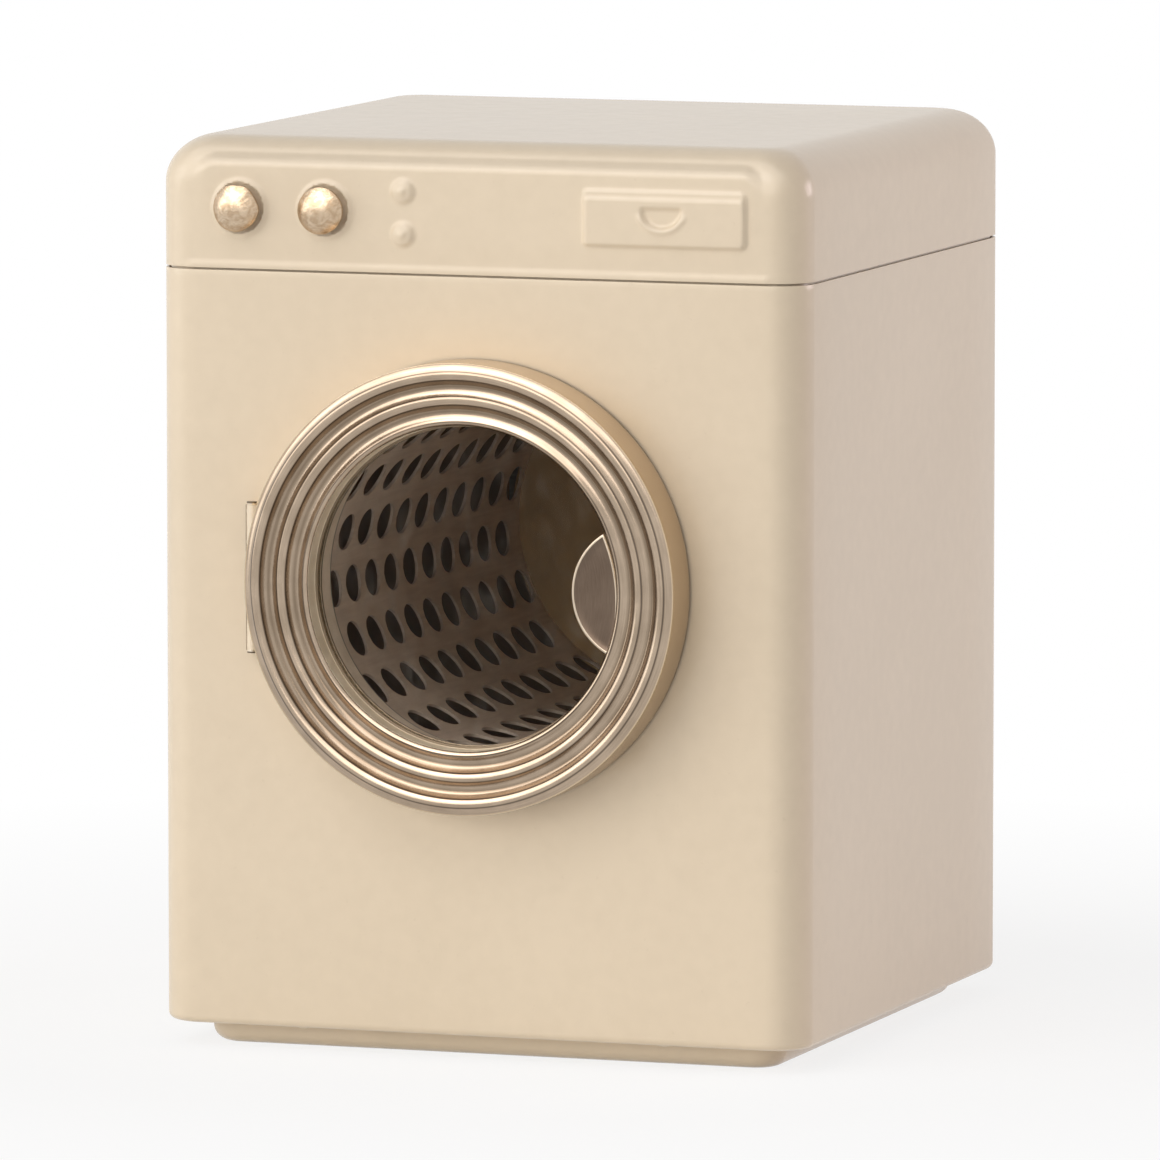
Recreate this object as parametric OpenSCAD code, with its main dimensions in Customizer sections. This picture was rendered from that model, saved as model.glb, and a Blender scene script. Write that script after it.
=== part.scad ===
// Toy washing machine of pressed tinplate: cabinet, lift-off top, beaded porthole door,
// perforated drum that turns on a rear axle, and two turning knobs.
// Origin: centre of the plinth's underside. +X right, +Y back, +Z up; the door looks along -Y.

/* [Cabinet] */
// Width of the cabinet
body_w = 89; // [84:0.5:100]
// Depth of the cabinet without the door
body_d = 87; // [80:0.5:100]
// Height of the seam between cabinet and top
seam_z = 102.4; // [100:0.2:104]
// Radius of the four upright corners
corner_r = 5.1; // [3:0.1:7]
// Thickness of the tinplate
sheet = 0.4; // [0.3:0.05:0.6]
// Width of the folded seam down the back
back_seam_w = 5; // [3:0.5:8]

/* [Top] */
// Height of the top from its lower edge
lid_h = 17.3; // [16.5:0.1:24]
// Radius of the rounded edge round the top
top_edge_r = 6.2; // [4:0.1:8]
// Gap that shows as the dark line between cabinet and top
seam_gap = 0.3; // [0.2:0.05:0.5]
// Height of the collar above the seam
collar_rise = 4; // [3:0.25:4.5]
// Depth of the collar inside the cabinet
collar_drop = 6; // [4:0.5:10]
// Clearance between collar and top
collar_gap = 0.3; // [0.2:0.05:0.5]
// How far the pressed front panel stands out
panel_rise = 0.5; // [0.3:0.1:0.8]
// Margin of the panel at each side
panel_side = 4.8; // [4:0.2:8]
// Margin of the panel above the seam
panel_low = 1; // [0.8:0.1:1.5]
// Height of the panel
panel_h = 12; // [11:0.25:12.5]

/* [Knobs and pressed details] */
// Radius of the knobs
knob_r = 3.1; // [2.4:0.1:3.3]
// Height of a knob's dome
knob_dome_h = 1.9; // [1.2:0.1:2.6]
// Radius of a knob's stem
stem_r = 0.9; // [0.7:0.05:1.2]
// Distance of the left knob from the cabinet's centre
knob_left_x = 32.6; // [31.5:0.1:34]
// Distance of the right knob from the cabinet's centre
knob_right_x = 20.8; // [19:0.1:22]
// Height of the knobs above the seam
knob_up = 7.9; // [7.7:0.1:8.6]
// Width of the pressed drawer front
drawer_w = 22.5; // [18:0.5:25]
// Height of the pressed drawer front
drawer_h = 7.1; // [6:0.1:7.6]
// Distance of the drawer's centre from the cabinet's centre
drawer_x = 25.4; // [24:0.2:26]
// Radius of the half-round finger recess in the drawer front
recess_r = 2.4; // [1.5:0.1:3]
// Radius of the two pressed buttons
button_r = 1.4; // [1:0.1:2]

/* [Plinth] */
// Height of the plinth
plinth_h = 3.2; // [3:0.1:5]
// How far the plinth stands back from the cabinet walls
plinth_inset = 4.8; // [4.5:0.1:8]
// Radius of the plinth's lower edge
plinth_edge_r = 2.2; // [1.5:0.1:2.5]

/* [Door] */
// Height of the door's centre
door_z = 62.5; // [60:0.5:66]
// Outer radius of the door ring
door_r = 29.4; // [26:0.2:34]
// Width of the ring from its outer edge in to the porthole
ring_w = 8.2; // [7:0.1:10]
// How far the door stands out from the cabinet
door_depth = 8.1; // [7.5:0.1:10]
// Gap between door ring and cabinet
door_gap = 0.35; // [0.3:0.05:0.5]
// Number of mouldings across the ring, the innermost a half
mouldings = 2.5; // [1.5:1:3.5]
// Rise of a moulding above the grooves beside it
moulding_rise = 0.9; // [0.7:0.05:1.1]
// Depth of the cove between a moulding's two shoulders
cove_depth = 0.5; // [0.3:0.05:0.6]
// How much lower the ring lies at the porthole than at its outer edge
dish_h = 1.9; // [1:0.1:2.2]
// How far the ring's inner edge rolls down into the porthole
roll_h = 0.65; // [0.4:0.05:0.8]
// Thickness of the clear window
window_t = 0.8; // [0.5:0.1:1.2]
// Height of the window's back above the cabinet front
window_h = 1.9; // [1.8:0.1:2.1]
// Radius of the curved edge of the finger pull
pull_r = 9; // [8:0.25:10.5]
// Width of the finger pull in from the ring
pull_w = 6.3; // [5:0.1:7]
// Thickness of the finger pull
pull_t = 0.5; // [0.4:0.05:0.6]

/* [Door hinge] */
// Length of the hinge barrel
hinge_l = 19; // [16:0.5:22]
// Radius of the hinge barrel
barrel_r = 0.8; // [0.75:0.05:0.9]
// Radius of the hinge pin
pin_r = 0.4; // [0.3:0.05:0.45]
// Gap between knuckles, and between barrel and ring
knuckle_gap = 0.3; // [0.2:0.05:0.4]
// Width of the cabinet's hinge leaf
leaf_w = 4.6; // [4.2:0.1:5]
// Radius of the magnet that holds the door shut
magnet_r = 1.3; // [1:0.1:1.4]
// Thickness of the magnet
magnet_t = 1; // [0.6:0.1:1]

/* [Drum] */
// How much further out the drum's wall lies than the porthole's edge
drum_margin = 1.6; // [1:0.1:3]
// Clearance between the throat and the drum round it
throat_gap = 0.3; // [0.25:0.05:0.5]
// Distance of the drum's mouth behind the cabinet front
mouth_back = 4.6; // [4:0.2:7]
// How far the throat reaches into the drum
throat_reach = 1; // [0.5:0.1:1.5]
// Diameter of the drum's holes
hole_d = 5.2; // [3:0.1:5.4]
// Number of rows of holes round the drum
hole_rows = 20; // [12:2:20]
// Distance between holes along a row
hole_pitch = 7.3; // [7.2:0.1:10]
// Turn of the first row of holes
hole_turn = 5.7; // [0:0.1:17]
// Radius of the axle
axle_r = 1.2; // [1:0.1:1.6]
// Thickness of the hub plate
hub_t = 0.7; // [0.5:0.1:1]
// Thickness of the bearing bracket
bracket_t = 0.6; // [0.4:0.1:0.8]
// Width of the bearing bracket
bracket_w = 16; // [14:0.5:20]
// Space behind the drum for its bearing
bearing_space = 5.2; // [5:0.1:7]

/* [Hidden] */

// Roundness of true circles, and number of straight steps across one moulding
$fn = 96;
moulding_steps = 12;
// Overlap that makes a cut or a join clean
eps = 0.05;
// Running clearance of a pin or shaft in its bore
run_fit = 0.05;
// End play of a turning piece
end_play = 0.15;
// Clearance of a rivet in its hole, and the rivet's own sizes
rivet_fit = 0.02;
rivet_r = 0.6;
rivet_head_r = 1.1;
rivet_head_h = 0.4;

front_y = -body_d / 2;
inner_w = body_w - 2 * sheet;
inner_d = body_d - 2 * sheet;
inner_corner_r = corner_r - sheet;
body_top_z = seam_z;
lid_low_z = seam_z + seam_gap;

// Plinth: a tray that hangs by its flange on the cabinet's inturned foot
tray_w = body_w - 2 * plinth_inset;
tray_d = body_d - 2 * plinth_inset;
tray_corner_r = max(corner_r - 1, 2);
foot_gap = 0.1;
flange_side = 0.3;
flange_w = inner_w - 2 * flange_side;
flange_d = inner_d - 2 * flange_side;
foot_rivet_inset = (plinth_inset + sheet + flange_side) / 2;
foot_rivet_spread = 25;

// Small steps of the pressed sheet: end of the back seam, inset of a rivet's tail, depth at
// which a pressed detail is rooted in its wall, and height over which the collar is crimped
seam_end = 1;
tail_inset = 0.2;
press_root = 2 * sheet;
crimp_l = 1;

// Panel details of the top
collar_lip_r = knob_r + 1;
collar_lip_h = 0.3;
drawer_rise = 0.4;
drawer_up = 8;
recess_depth = 0.7;
button_x = 10;
button_rise = 0.35;
button_dot_r = 0.5;
button_low = 5;
button_pitch = 5.6;
knob_edge_h = 0.4;
knob_clip_r = 2.2;
knob_clip_t = 0.5;
dome_r = (pow(knob_r, 2) + pow(knob_dome_h, 2)) / (2 * knob_dome_h);
knob_base_h = panel_rise + collar_lip_h + end_play;
knob_clip_h = -sheet - end_play - knob_clip_t;
stem_tail = 0.3;

// Door section, heights counted outwards from the cabinet front
rim_r = door_r - ring_w;
leaf_t = 0.4;
barrel_h = leaf_t + knuckle_gap + barrel_r;
door_leaf_h = 1;
back_plate_h = door_leaf_h + leaf_t;
shoulder_at = sqrt(cove_depth / (3 * moulding_rise));
shoulder_h = moulding_rise * (1 - pow(shoulder_at, 3)) - cove_depth * (1 - shoulder_at);
ring_edge_h = door_depth - shoulder_h;
ring_rim_h = face_h(1);
sleeve_r = rim_r + sheet;
window_seat_w = 0.4;
pull_drop = 0.4;
pull_h = ring_rim_h - sheet - pull_t - pull_drop;
pull_centre_x = rim_r - pull_w + pull_r;
pull_hem_w = 0.5;
pull_hem_rise = 0.15;

// Hinge: three knuckles, the middle one on the door
hinge_x = -(door_r + knuckle_gap + barrel_r);
knuckle_l = (hinge_l - 2 * knuckle_gap) / 3;
leaf_margin = 2;
door_leaf_in_x = -(sleeve_r + leaf_margin);
door_leaf_spread = 3;
door_leaf_l = knuckle_l + door_leaf_spread;
tongue_l = knuckle_l;
rivet_margin = 2.3;
door_rivet_x = door_leaf_in_x - rivet_margin;
door_rivet_spread = door_leaf_l / 4;
cabinet_rivet_x = hinge_x + leaf_w - rivet_head_r;
cabinet_rivet_spread = hinge_l / 2 - rivet_head_r - rivet_margin;
pin_head_r = 0.65;
pin_head_h = 0.4;

// Throat and drum
drum_r = rim_r + drum_margin;
throat_out_r = drum_r - throat_gap;
throat_in_r = throat_out_r - sheet;
leaf_gap = 0.8;
throat_flange_r = -hinge_x - leaf_w - leaf_gap;
front_hole_r = throat_out_r + foot_gap;
magnet_x = (throat_flange_r + door_r - sheet) / 2;
drum_out_r = drum_r + sheet;
mouth_y = front_y + mouth_back;
drum_back_y = body_d / 2 - sheet - bearing_space;
drum_len = drum_back_y - mouth_y;
hole_margin = 1;
holes_first_y = mouth_y + hole_d / 2 + hole_margin;
holes_last_y = drum_back_y - sheet - hole_d / 2 - hole_margin / 2;
stagger = hole_pitch / 2;
holes_in_row = floor((holes_last_y - stagger - holes_first_y) / hole_pitch) + 1;
mouth_bead_r = 0.5;
cap_rim_l = 1.2;
hub_r = 7;
axle_head_r = 2.6;
axle_head_h = 0.8;
bush_flange_r = 4;
bush_flange_t = 0.5;
bush_wall = 1.2;
bush_r = axle_r + bush_wall;
bush_tail = 1;
clip_w = 1.4;
clip_r = axle_r + clip_w;
clip_t = 0.6;
axle_play = 0.3;
clip_play = 0.1;
axle_tail = 0.4;
hub_y = drum_back_y;
bush_y = hub_y + hub_t + axle_play;
bracket_y = bush_y + bush_flange_t;
bush_end_y = bracket_y + bracket_t + bush_tail;
clip_y = bush_end_y + clip_play;
axle_end_y = clip_y + clip_t + axle_tail;
bracket_span = 36;
bracket_foot = 8;
bracket_rivet_x = bracket_span / 2 + bracket_foot / 2;
bracket_rivet_margin = 3;
bracket_rivet_z = bracket_w / 2 - bracket_rivet_margin;

cream = "#dfcdb3";
pale_gold = "#c9b08a";
steel = "#8d8378";
brass = "#c8a46a";

// Outline of a rectangle with round corners
module rounded_rect(w, d, r) {
    square([w - 2 * r, d], center = true);
    square([w, d - 2 * r], center = true);
    for (x = [-1, 1], y = [-1, 1])
        translate([x * (w / 2 - r), y * (d / 2 - r)]) circle(r);
}

// Outline standing on its base line, with its two upper corners round
module crowned_rect(w, h, r) {
    translate([-w / 2, 0]) square([w, h - r]);
    translate([-w / 2 + r, 0]) square([w - 2 * r, h]);
    for (x = [-1, 1]) translate([x * (w / 2 - r), h - r]) circle(r);
}

module rounded_slab(w, d, h, r) {
    linear_extrude(h) rounded_rect(w, d, r);
}

// Block with round upright corners and a round edge along its top
module crowned_block(w, d, h, r, edge_r) {
    intersection() {
        rounded_slab(w, d, h, r);
        translate([0, d / 2, 0]) rotate([90, 0, 0]) linear_extrude(d) crowned_rect(w, h, edge_r);
        translate([-w / 2, 0, 0]) rotate([90, 0, 90]) linear_extrude(w) crowned_rect(d, h, edge_r);
    }
}

module ring(outer_r, inner_r, h) {
    difference() {
        cylinder(r = outer_r, h = h);
        translate([0, 0, -eps]) cylinder(r = inner_r, h = h + 2 * eps);
    }
}

// Places on the cabinet front: x to the right, y up, z outwards
module on_front() {
    translate([0, front_y, 0]) rotate([90, 0, 0]) children();
}

module on_door() {
    on_front() translate([0, door_z, 0]) children();
}

// Places on the drum's axis: z runs to the back
module on_drum(y) {
    translate([0, y, door_z]) rotate([-90, 0, 0]) children();
}

// Rivet along z: its domed head stands on z = 0 and its shank goes down through the grip
module rivet(grip) {
    cap_r = (pow(rivet_head_r, 2) + pow(rivet_head_h, 2)) / (2 * rivet_head_h);
    intersection() {
        translate([0, 0, rivet_head_h - cap_r]) sphere(cap_r);
        cylinder(r = rivet_head_r, h = rivet_head_h + eps);
    }
    translate([0, 0, -grip]) cylinder(r = rivet_r, h = grip + eps);
    translate([0, 0, -grip - rivet_head_h / 2])
        cylinder(r = rivet_head_r - tail_inset, h = rivet_head_h / 2);
}

module rivet_hole(grip) {
    translate([0, 0, -grip - eps]) cylinder(r = rivet_r + rivet_fit, h = grip + 2 * eps);
}

// Two rivets on each side of the foot
module at_foot_rivets() {
    for (s = [-1, 1], t = [-1, 1]) {
        translate([s * (body_w / 2 - foot_rivet_inset), t * foot_rivet_spread, 0]) children();
        translate([t * foot_rivet_spread, s * (body_d / 2 - foot_rivet_inset), 0]) children();
    }
}

module at_bracket_rivets() {
    translate([0, body_d / 2, door_z]) rotate([-90, 0, 0])
        for (x = [-1, 1], z = [-1, 1])
            translate([x * bracket_rivet_x, z * bracket_rivet_z, 0]) children();
}

module at_cabinet_leaf_rivets() {
    on_door() for (s = [-1, 1])
        translate([cabinet_rivet_x, s * cabinet_rivet_spread, leaf_t]) children();
}

module at_door_leaf_rivets() {
    on_door() for (s = [-1, 1])
        translate([door_rivet_x, s * door_rivet_spread, back_plate_h + sheet]) children();
}

// Cabinet

module body_shell() {
    color(cream) difference() {
        union() {
            translate([0, 0, plinth_h])
                rounded_slab(body_w, body_d, body_top_z - plinth_h, corner_r);
            translate([-back_seam_w / 2, body_d / 2 - eps, plinth_h + seam_end])
                cube([back_seam_w, sheet + eps, body_top_z - plinth_h - 2 * seam_end]);
        }
        translate([0, 0, plinth_h + sheet])
            rounded_slab(inner_w, inner_d, body_top_z, inner_corner_r);
        translate([0, 0, plinth_h - eps])
            rounded_slab(tray_w + 2 * foot_gap, tray_d + 2 * foot_gap, sheet + 2 * eps,
                         tray_corner_r + foot_gap);
        on_door() translate([0, 0, -sheet - eps]) cylinder(r = front_hole_r, h = sheet + 2 * eps);
        translate([0, 0, plinth_h + sheet]) at_foot_rivets() rivet_hole(sheet);
        at_bracket_rivets() rivet_hole(sheet);
        at_cabinet_leaf_rivets() rivet_hole(leaf_t + sheet);
    }
}

module plinth_tray() {
    top_z = plinth_h + sheet;
    color(cream) difference() {
        union() {
            translate([0, 0, top_z]) mirror([0, 0, 1])
                crowned_block(tray_w, tray_d, top_z, tray_corner_r, plinth_edge_r);
            translate([0, 0, top_z]) rounded_slab(flange_w, flange_d, sheet, inner_corner_r);
        }
        translate([0, 0, top_z + sheet + eps]) mirror([0, 0, 1])
            crowned_block(tray_w - 2 * sheet, tray_d - 2 * sheet, top_z + eps,
                          tray_corner_r - sheet, plinth_edge_r - sheet);
        translate([0, 0, top_z + sheet]) at_foot_rivets() rivet_hole(sheet);
    }
}

module plinth_rivets() {
    color(cream) translate([0, 0, plinth_h]) mirror([0, 0, 1]) at_foot_rivets() rivet(2 * sheet);
}

module lid_collar() {
    low_z = body_top_z - collar_drop;
    bore_w = inner_w - 2 * collar_gap - 2 * sheet;
    bore_d = inner_d - 2 * collar_gap - 2 * sheet;
    color(cream) difference() {
        union() {
            translate([0, 0, low_z]) rounded_slab(inner_w, inner_d, collar_drop - crimp_l, inner_corner_r);
            translate([0, 0, low_z])
                rounded_slab(bore_w + 2 * sheet, bore_d + 2 * sheet, collar_drop + collar_rise,
                             inner_corner_r - collar_gap);
        }
        translate([0, 0, low_z - eps])
            rounded_slab(bore_w, bore_d, collar_drop + collar_rise + 2 * eps,
                         inner_corner_r - collar_gap - sheet);
    }
}

module throat_ring() {
    depth = mouth_back + throat_reach;
    color(pale_gold) on_door() {
        translate([0, 0, -depth]) ring(throat_out_r, throat_in_r, depth + eps);
        ring(throat_flange_r, throat_in_r, sheet);
    }
}

// Drum bearing

module bearing_bracket() {
    leg_l = body_d / 2 - sheet - bracket_y;
    color(steel) difference() {
        on_drum(bracket_y) {
            translate([-bracket_span / 2, -bracket_w / 2, 0]) cube([bracket_span, bracket_w, bracket_t]);
            for (s = [-1, 1]) {
                translate([s * (bracket_span - bracket_t) / 2, 0, leg_l / 2])
                    cube([bracket_t, bracket_w, leg_l], center = true);
                translate([s * (bracket_span + bracket_foot - bracket_t) / 2, 0, leg_l - bracket_t / 2])
                    cube([bracket_foot + bracket_t, bracket_w, bracket_t], center = true);
            }
        }
        on_drum(bracket_y - eps) cylinder(r = bush_r, h = bracket_t + 2 * eps);
        at_bracket_rivets() rivet_hole(sheet + bracket_t);
    }
}

module bracket_rivets() {
    color(steel) at_bracket_rivets() rivet(sheet + bracket_t);
}

module axle_bush() {
    color(brass) {
        on_drum(bush_y) ring(bush_flange_r, axle_r + run_fit, bush_flange_t);
        on_drum(bush_y) ring(bush_r, axle_r + run_fit, bush_end_y - bush_y);
    }
}

// Hinge and catch

module hinge_leaf_cabinet() {
    color(cream) difference() {
        on_door() {
            translate([hinge_x, -hinge_l / 2, 0]) cube([leaf_w, hinge_l, leaf_t]);
            for (s = [-1, 1]) translate([hinge_x, s * (hinge_l - knuckle_l) / 2, 0]) {
                translate([0, knuckle_l / 2, barrel_h]) rotate([90, 0, 0])
                    cylinder(r = barrel_r, h = knuckle_l);
                translate([-barrel_r, -knuckle_l / 2, 0]) cube([2 * barrel_r, knuckle_l, barrel_h]);
            }
        }
        on_door() translate([hinge_x, hinge_l / 2 + eps, barrel_h]) rotate([90, 0, 0])
            cylinder(r = pin_r + run_fit, h = hinge_l + 2 * eps);
        at_cabinet_leaf_rivets() rivet_hole(leaf_t);
    }
}

module cabinet_leaf_rivets() {
    color(cream) at_cabinet_leaf_rivets() rivet(leaf_t + sheet);
}

module hinge_pin() {
    color(steel) on_door() translate([hinge_x, hinge_l / 2, barrel_h]) rotate([90, 0, 0]) {
        cylinder(r = pin_r, h = hinge_l);
        for (z = [-pin_head_h, hinge_l]) translate([0, 0, z]) cylinder(r = pin_head_r, h = pin_head_h);
    }
}

module catch_magnet() {
    color("#3b3a3c") on_door() translate([magnet_x, 0, 0]) cylinder(r = magnet_r, h = magnet_t);
}

// Door

// Height of one moulding above its grooves, at a share p of the way across it
function moulding_h(p) =
    let (x = 2 * p - 1)
        moulding_rise * (1 - pow(x, 6)) - cove_depth * (1 - pow(x, 2));

// Height of the ring's face at a share t of the way in from its edge
function face_h(t) =
    let (across = mouldings * t, roll = max(0, 2 * (across - mouldings) + 1))
        ring_edge_h - dish_h * t + moulding_h(across - floor(across)) - roll_h * pow(roll, 2);

function face_line(inset_r, drop) =
    [for (i = [0 : mouldings * moulding_steps])
        let (t = i / (mouldings * moulding_steps))
            [min(door_r - ring_w * t, door_r - inset_r), face_h(t) - drop]];

function reversed(points) = [for (i = [len(points) - 1 : -1 : 0]) points[i]];

module door_ring() {
    outline = concat([[door_r, door_gap]], face_line(0, 0), reversed(face_line(sheet, sheet)),
                     [[door_r - sheet, door_gap]]);
    notch_h = leaf_t + knuckle_gap;
    color(pale_gold) on_door() difference() {
        rotate_extrude() polygon(outline);
        translate([-door_r - eps, -hinge_l / 2 - knuckle_gap, 0])
            cube([door_r / 4, hinge_l + 2 * knuckle_gap, notch_h + eps]);
        translate([-door_r - eps, -tongue_l / 2 - eps, 0])
            cube([door_r / 4, tongue_l + 2 * eps, back_plate_h + eps]);
    }
}

module door_sleeve() {
    color(pale_gold) on_door() {
        translate([0, 0, back_plate_h]) ring(sleeve_r, rim_r, ring_rim_h - sheet - back_plate_h);
        translate([0, 0, window_h + window_t]) ring(rim_r + eps, rim_r - window_seat_w, sheet);
    }
}

module door_back_plate() {
    color(pale_gold) difference() {
        on_door() translate([0, 0, back_plate_h]) ring(door_r - sheet, sleeve_r, sheet);
        at_door_leaf_rivets() rivet_hole(sheet);
    }
}

module door_window() {
    color([0.9, 0.92, 0.9, 0.25]) on_door() translate([0, 0, window_h])
        cylinder(r = rim_r - run_fit, h = window_t);
}

module window_retainer() {
    color(steel) on_door() translate([0, 0, back_plate_h])
        ring(rim_r, rim_r - window_seat_w, window_h - back_plate_h);
}

// Lens-shaped plate between the ring's inner edge and an arc bulging into the window
module pull_outline(margin) {
    intersection() {
        circle(rim_r - margin);
        translate([pull_centre_x, 0]) circle(pull_r - margin);
    }
}

module door_pull() {
    color(brass) on_door() translate([0, 0, pull_h]) {
        linear_extrude(pull_t) pull_outline(0);
        difference() {
            linear_extrude(pull_t + pull_hem_rise) pull_outline(0);
            translate([0, 0, pull_t - eps]) linear_extrude(pull_hem_rise + 2 * eps)
                pull_outline(pull_hem_w);
        }
    }
}

module hinge_leaf_door() {
    color(cream) difference() {
        on_door() {
            translate([hinge_x, knuckle_l / 2, barrel_h]) rotate([90, 0, 0])
                cylinder(r = barrel_r, h = knuckle_l);
            translate([hinge_x, -tongue_l / 2, door_leaf_h])
                cube([door_leaf_in_x - hinge_x, tongue_l, leaf_t]);
            translate([-door_r + 2 * sheet, -door_leaf_l / 2, door_leaf_h])
                cube([door_leaf_in_x + door_r - 2 * sheet, door_leaf_l, leaf_t]);
        }
        on_door() translate([hinge_x, knuckle_l / 2 + eps, barrel_h]) rotate([90, 0, 0])
            cylinder(r = pin_r + run_fit, h = knuckle_l + 2 * eps);
        at_door_leaf_rivets() rivet_hole(sheet + leaf_t);
    }
}

module door_leaf_rivets() {
    color(steel) at_door_leaf_rivets() rivet(sheet + leaf_t);
}

// Drum

module drum_shell() {
    color(steel) difference() {
        on_drum(mouth_y) ring(drum_out_r, drum_r, drum_len - sheet);
        for (row = [0 : hole_rows - 1], k = [0 : holes_in_row - 1])
            translate([0, holes_first_y + k * hole_pitch + (row % 2) * stagger, door_z])
                rotate([0, -hole_turn - row * 360 / hole_rows, 0])
                    translate([drum_r - 1, 0, 0]) rotate([0, 90, 0])
                        cylinder(d = hole_d, h = sheet + 2);
    }
}

module drum_mouth_bead() {
    color(steel) on_drum(mouth_y + mouth_bead_r) rotate_extrude() translate([drum_out_r, 0])
        intersection() {
            circle(mouth_bead_r);
            translate([0, -mouth_bead_r]) square(2 * mouth_bead_r);
        }
}

module drum_back() {
    color(steel) difference() {
        on_drum(drum_back_y - cap_rim_l) ring(drum_out_r + sheet, axle_r, cap_rim_l);
        on_drum(drum_back_y - cap_rim_l - eps) cylinder(r = drum_out_r, h = cap_rim_l - sheet + eps);
    }
}

module drum_hub() {
    color(steel) on_drum(hub_y) ring(hub_r, axle_r, hub_t);
}

module drum_axle() {
    color(brass) {
        on_drum(drum_back_y - sheet - axle_head_h) cylinder(r = axle_head_r, h = axle_head_h);
        on_drum(drum_back_y - sheet - eps)
            cylinder(r = axle_r, h = axle_end_y - drum_back_y + sheet + eps);
    }
}

module axle_clip() {
    color(steel) on_drum(clip_y) ring(clip_r, axle_r, clip_t);
}

// Top

module knob_place(x) {
    on_front() translate([-x, lid_low_z + knob_up, 0]) children();
}

module lid_shell() {
    color(cream) difference() {
        union() {
            translate([0, 0, lid_low_z]) crowned_block(body_w, body_d, lid_h, corner_r, top_edge_r);
            on_front() {
                translate([0, lid_low_z + panel_low + panel_h / 2, -press_root])
                    rounded_slab(body_w - 2 * panel_side, panel_h, panel_rise + press_root, panel_h / 4);
                translate([drawer_x, lid_low_z + drawer_up, 0])
                    rounded_slab(drawer_w, drawer_h, panel_rise + drawer_rise, drawer_h / 8);
                for (k = [0, 1]) translate([-button_x, lid_low_z + button_low + k * button_pitch, 0]) {
                    cylinder(r = button_r, h = panel_rise + button_rise);
                    cylinder(r = button_dot_r, h = panel_rise + 2 * button_rise);
                }
            }
            for (x = [knob_left_x, knob_right_x])
                knob_place(x) cylinder(r = collar_lip_r, h = panel_rise + collar_lip_h);
        }
        translate([0, 0, lid_low_z - eps])
            crowned_block(inner_w, inner_d, lid_h - sheet + eps, inner_corner_r, top_edge_r - sheet);
        for (x = [knob_left_x, knob_right_x])
            knob_place(x) translate([0, 0, -press_root])
                cylinder(r = stem_r + run_fit, h = press_root + panel_rise + collar_lip_h + eps);
        on_front() translate([drawer_x, lid_low_z + drawer_up, panel_rise + drawer_rise - recess_depth])
            intersection() {
                cylinder(r = recess_r, h = 2 * recess_depth);
                translate([-recess_r, -recess_r, 0]) cube([2 * recess_r, recess_r, 2 * recess_depth]);
            }
    }
}

module knob(x) {
    color(brass) knob_place(x) {
        translate([0, 0, knob_base_h]) cylinder(r = knob_r, h = knob_edge_h);
        translate([0, 0, knob_base_h + knob_edge_h]) intersection() {
            translate([0, 0, knob_dome_h - dome_r]) sphere(dome_r);
            cylinder(r = knob_r, h = knob_dome_h + eps);
        }
        translate([0, 0, knob_clip_h - stem_tail])
            cylinder(r = stem_r, h = knob_base_h - knob_clip_h + stem_tail + eps);
    }
}

module knob_clip(x) {
    color(steel) knob_place(x) translate([0, 0, knob_clip_h]) ring(knob_clip_r, stem_r, knob_clip_t);
}

module knob_left() { knob(knob_left_x); }
module knob_left_clip() { knob_clip(knob_left_x); }
module knob_right() { knob(knob_right_x); }
module knob_right_clip() { knob_clip(knob_right_x); }

body_shell();
plinth_tray();
plinth_rivets();
lid_collar();
throat_ring();
bearing_bracket();
bracket_rivets();
axle_bush();
hinge_leaf_cabinet();
cabinet_leaf_rivets();
hinge_pin();
catch_magnet();
door_ring();
door_sleeve();
door_back_plate();
door_window();
window_retainer();
door_pull();
hinge_leaf_door();
door_leaf_rivets();
drum_shell();
drum_mouth_bead();
drum_back();
drum_hub();
drum_axle();
axle_clip();
lid_shell();
knob_left();
knob_left_clip();
knob_right();
knob_right_clip();
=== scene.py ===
import math

import bmesh
import bpy
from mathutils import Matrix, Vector


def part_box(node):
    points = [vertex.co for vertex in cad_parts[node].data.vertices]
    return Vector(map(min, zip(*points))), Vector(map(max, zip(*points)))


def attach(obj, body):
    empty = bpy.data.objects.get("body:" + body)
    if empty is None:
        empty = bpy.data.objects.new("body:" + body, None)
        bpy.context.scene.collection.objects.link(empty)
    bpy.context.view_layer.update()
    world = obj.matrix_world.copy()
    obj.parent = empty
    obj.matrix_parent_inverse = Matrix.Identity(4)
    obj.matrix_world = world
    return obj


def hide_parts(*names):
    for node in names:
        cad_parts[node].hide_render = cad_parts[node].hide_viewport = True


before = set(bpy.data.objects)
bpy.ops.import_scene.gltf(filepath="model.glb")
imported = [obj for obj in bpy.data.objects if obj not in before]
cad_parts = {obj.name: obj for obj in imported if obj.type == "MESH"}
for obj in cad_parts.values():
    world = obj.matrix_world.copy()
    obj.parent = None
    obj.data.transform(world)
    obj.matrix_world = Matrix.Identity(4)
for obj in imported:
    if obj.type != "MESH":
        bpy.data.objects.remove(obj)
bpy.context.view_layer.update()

# Every size below is in millimetres, and a mesh is turned into metres as it is made.
MM = 0.001


def cad_box(node):
    low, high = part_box(node)
    return low / MM, high / MM


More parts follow.
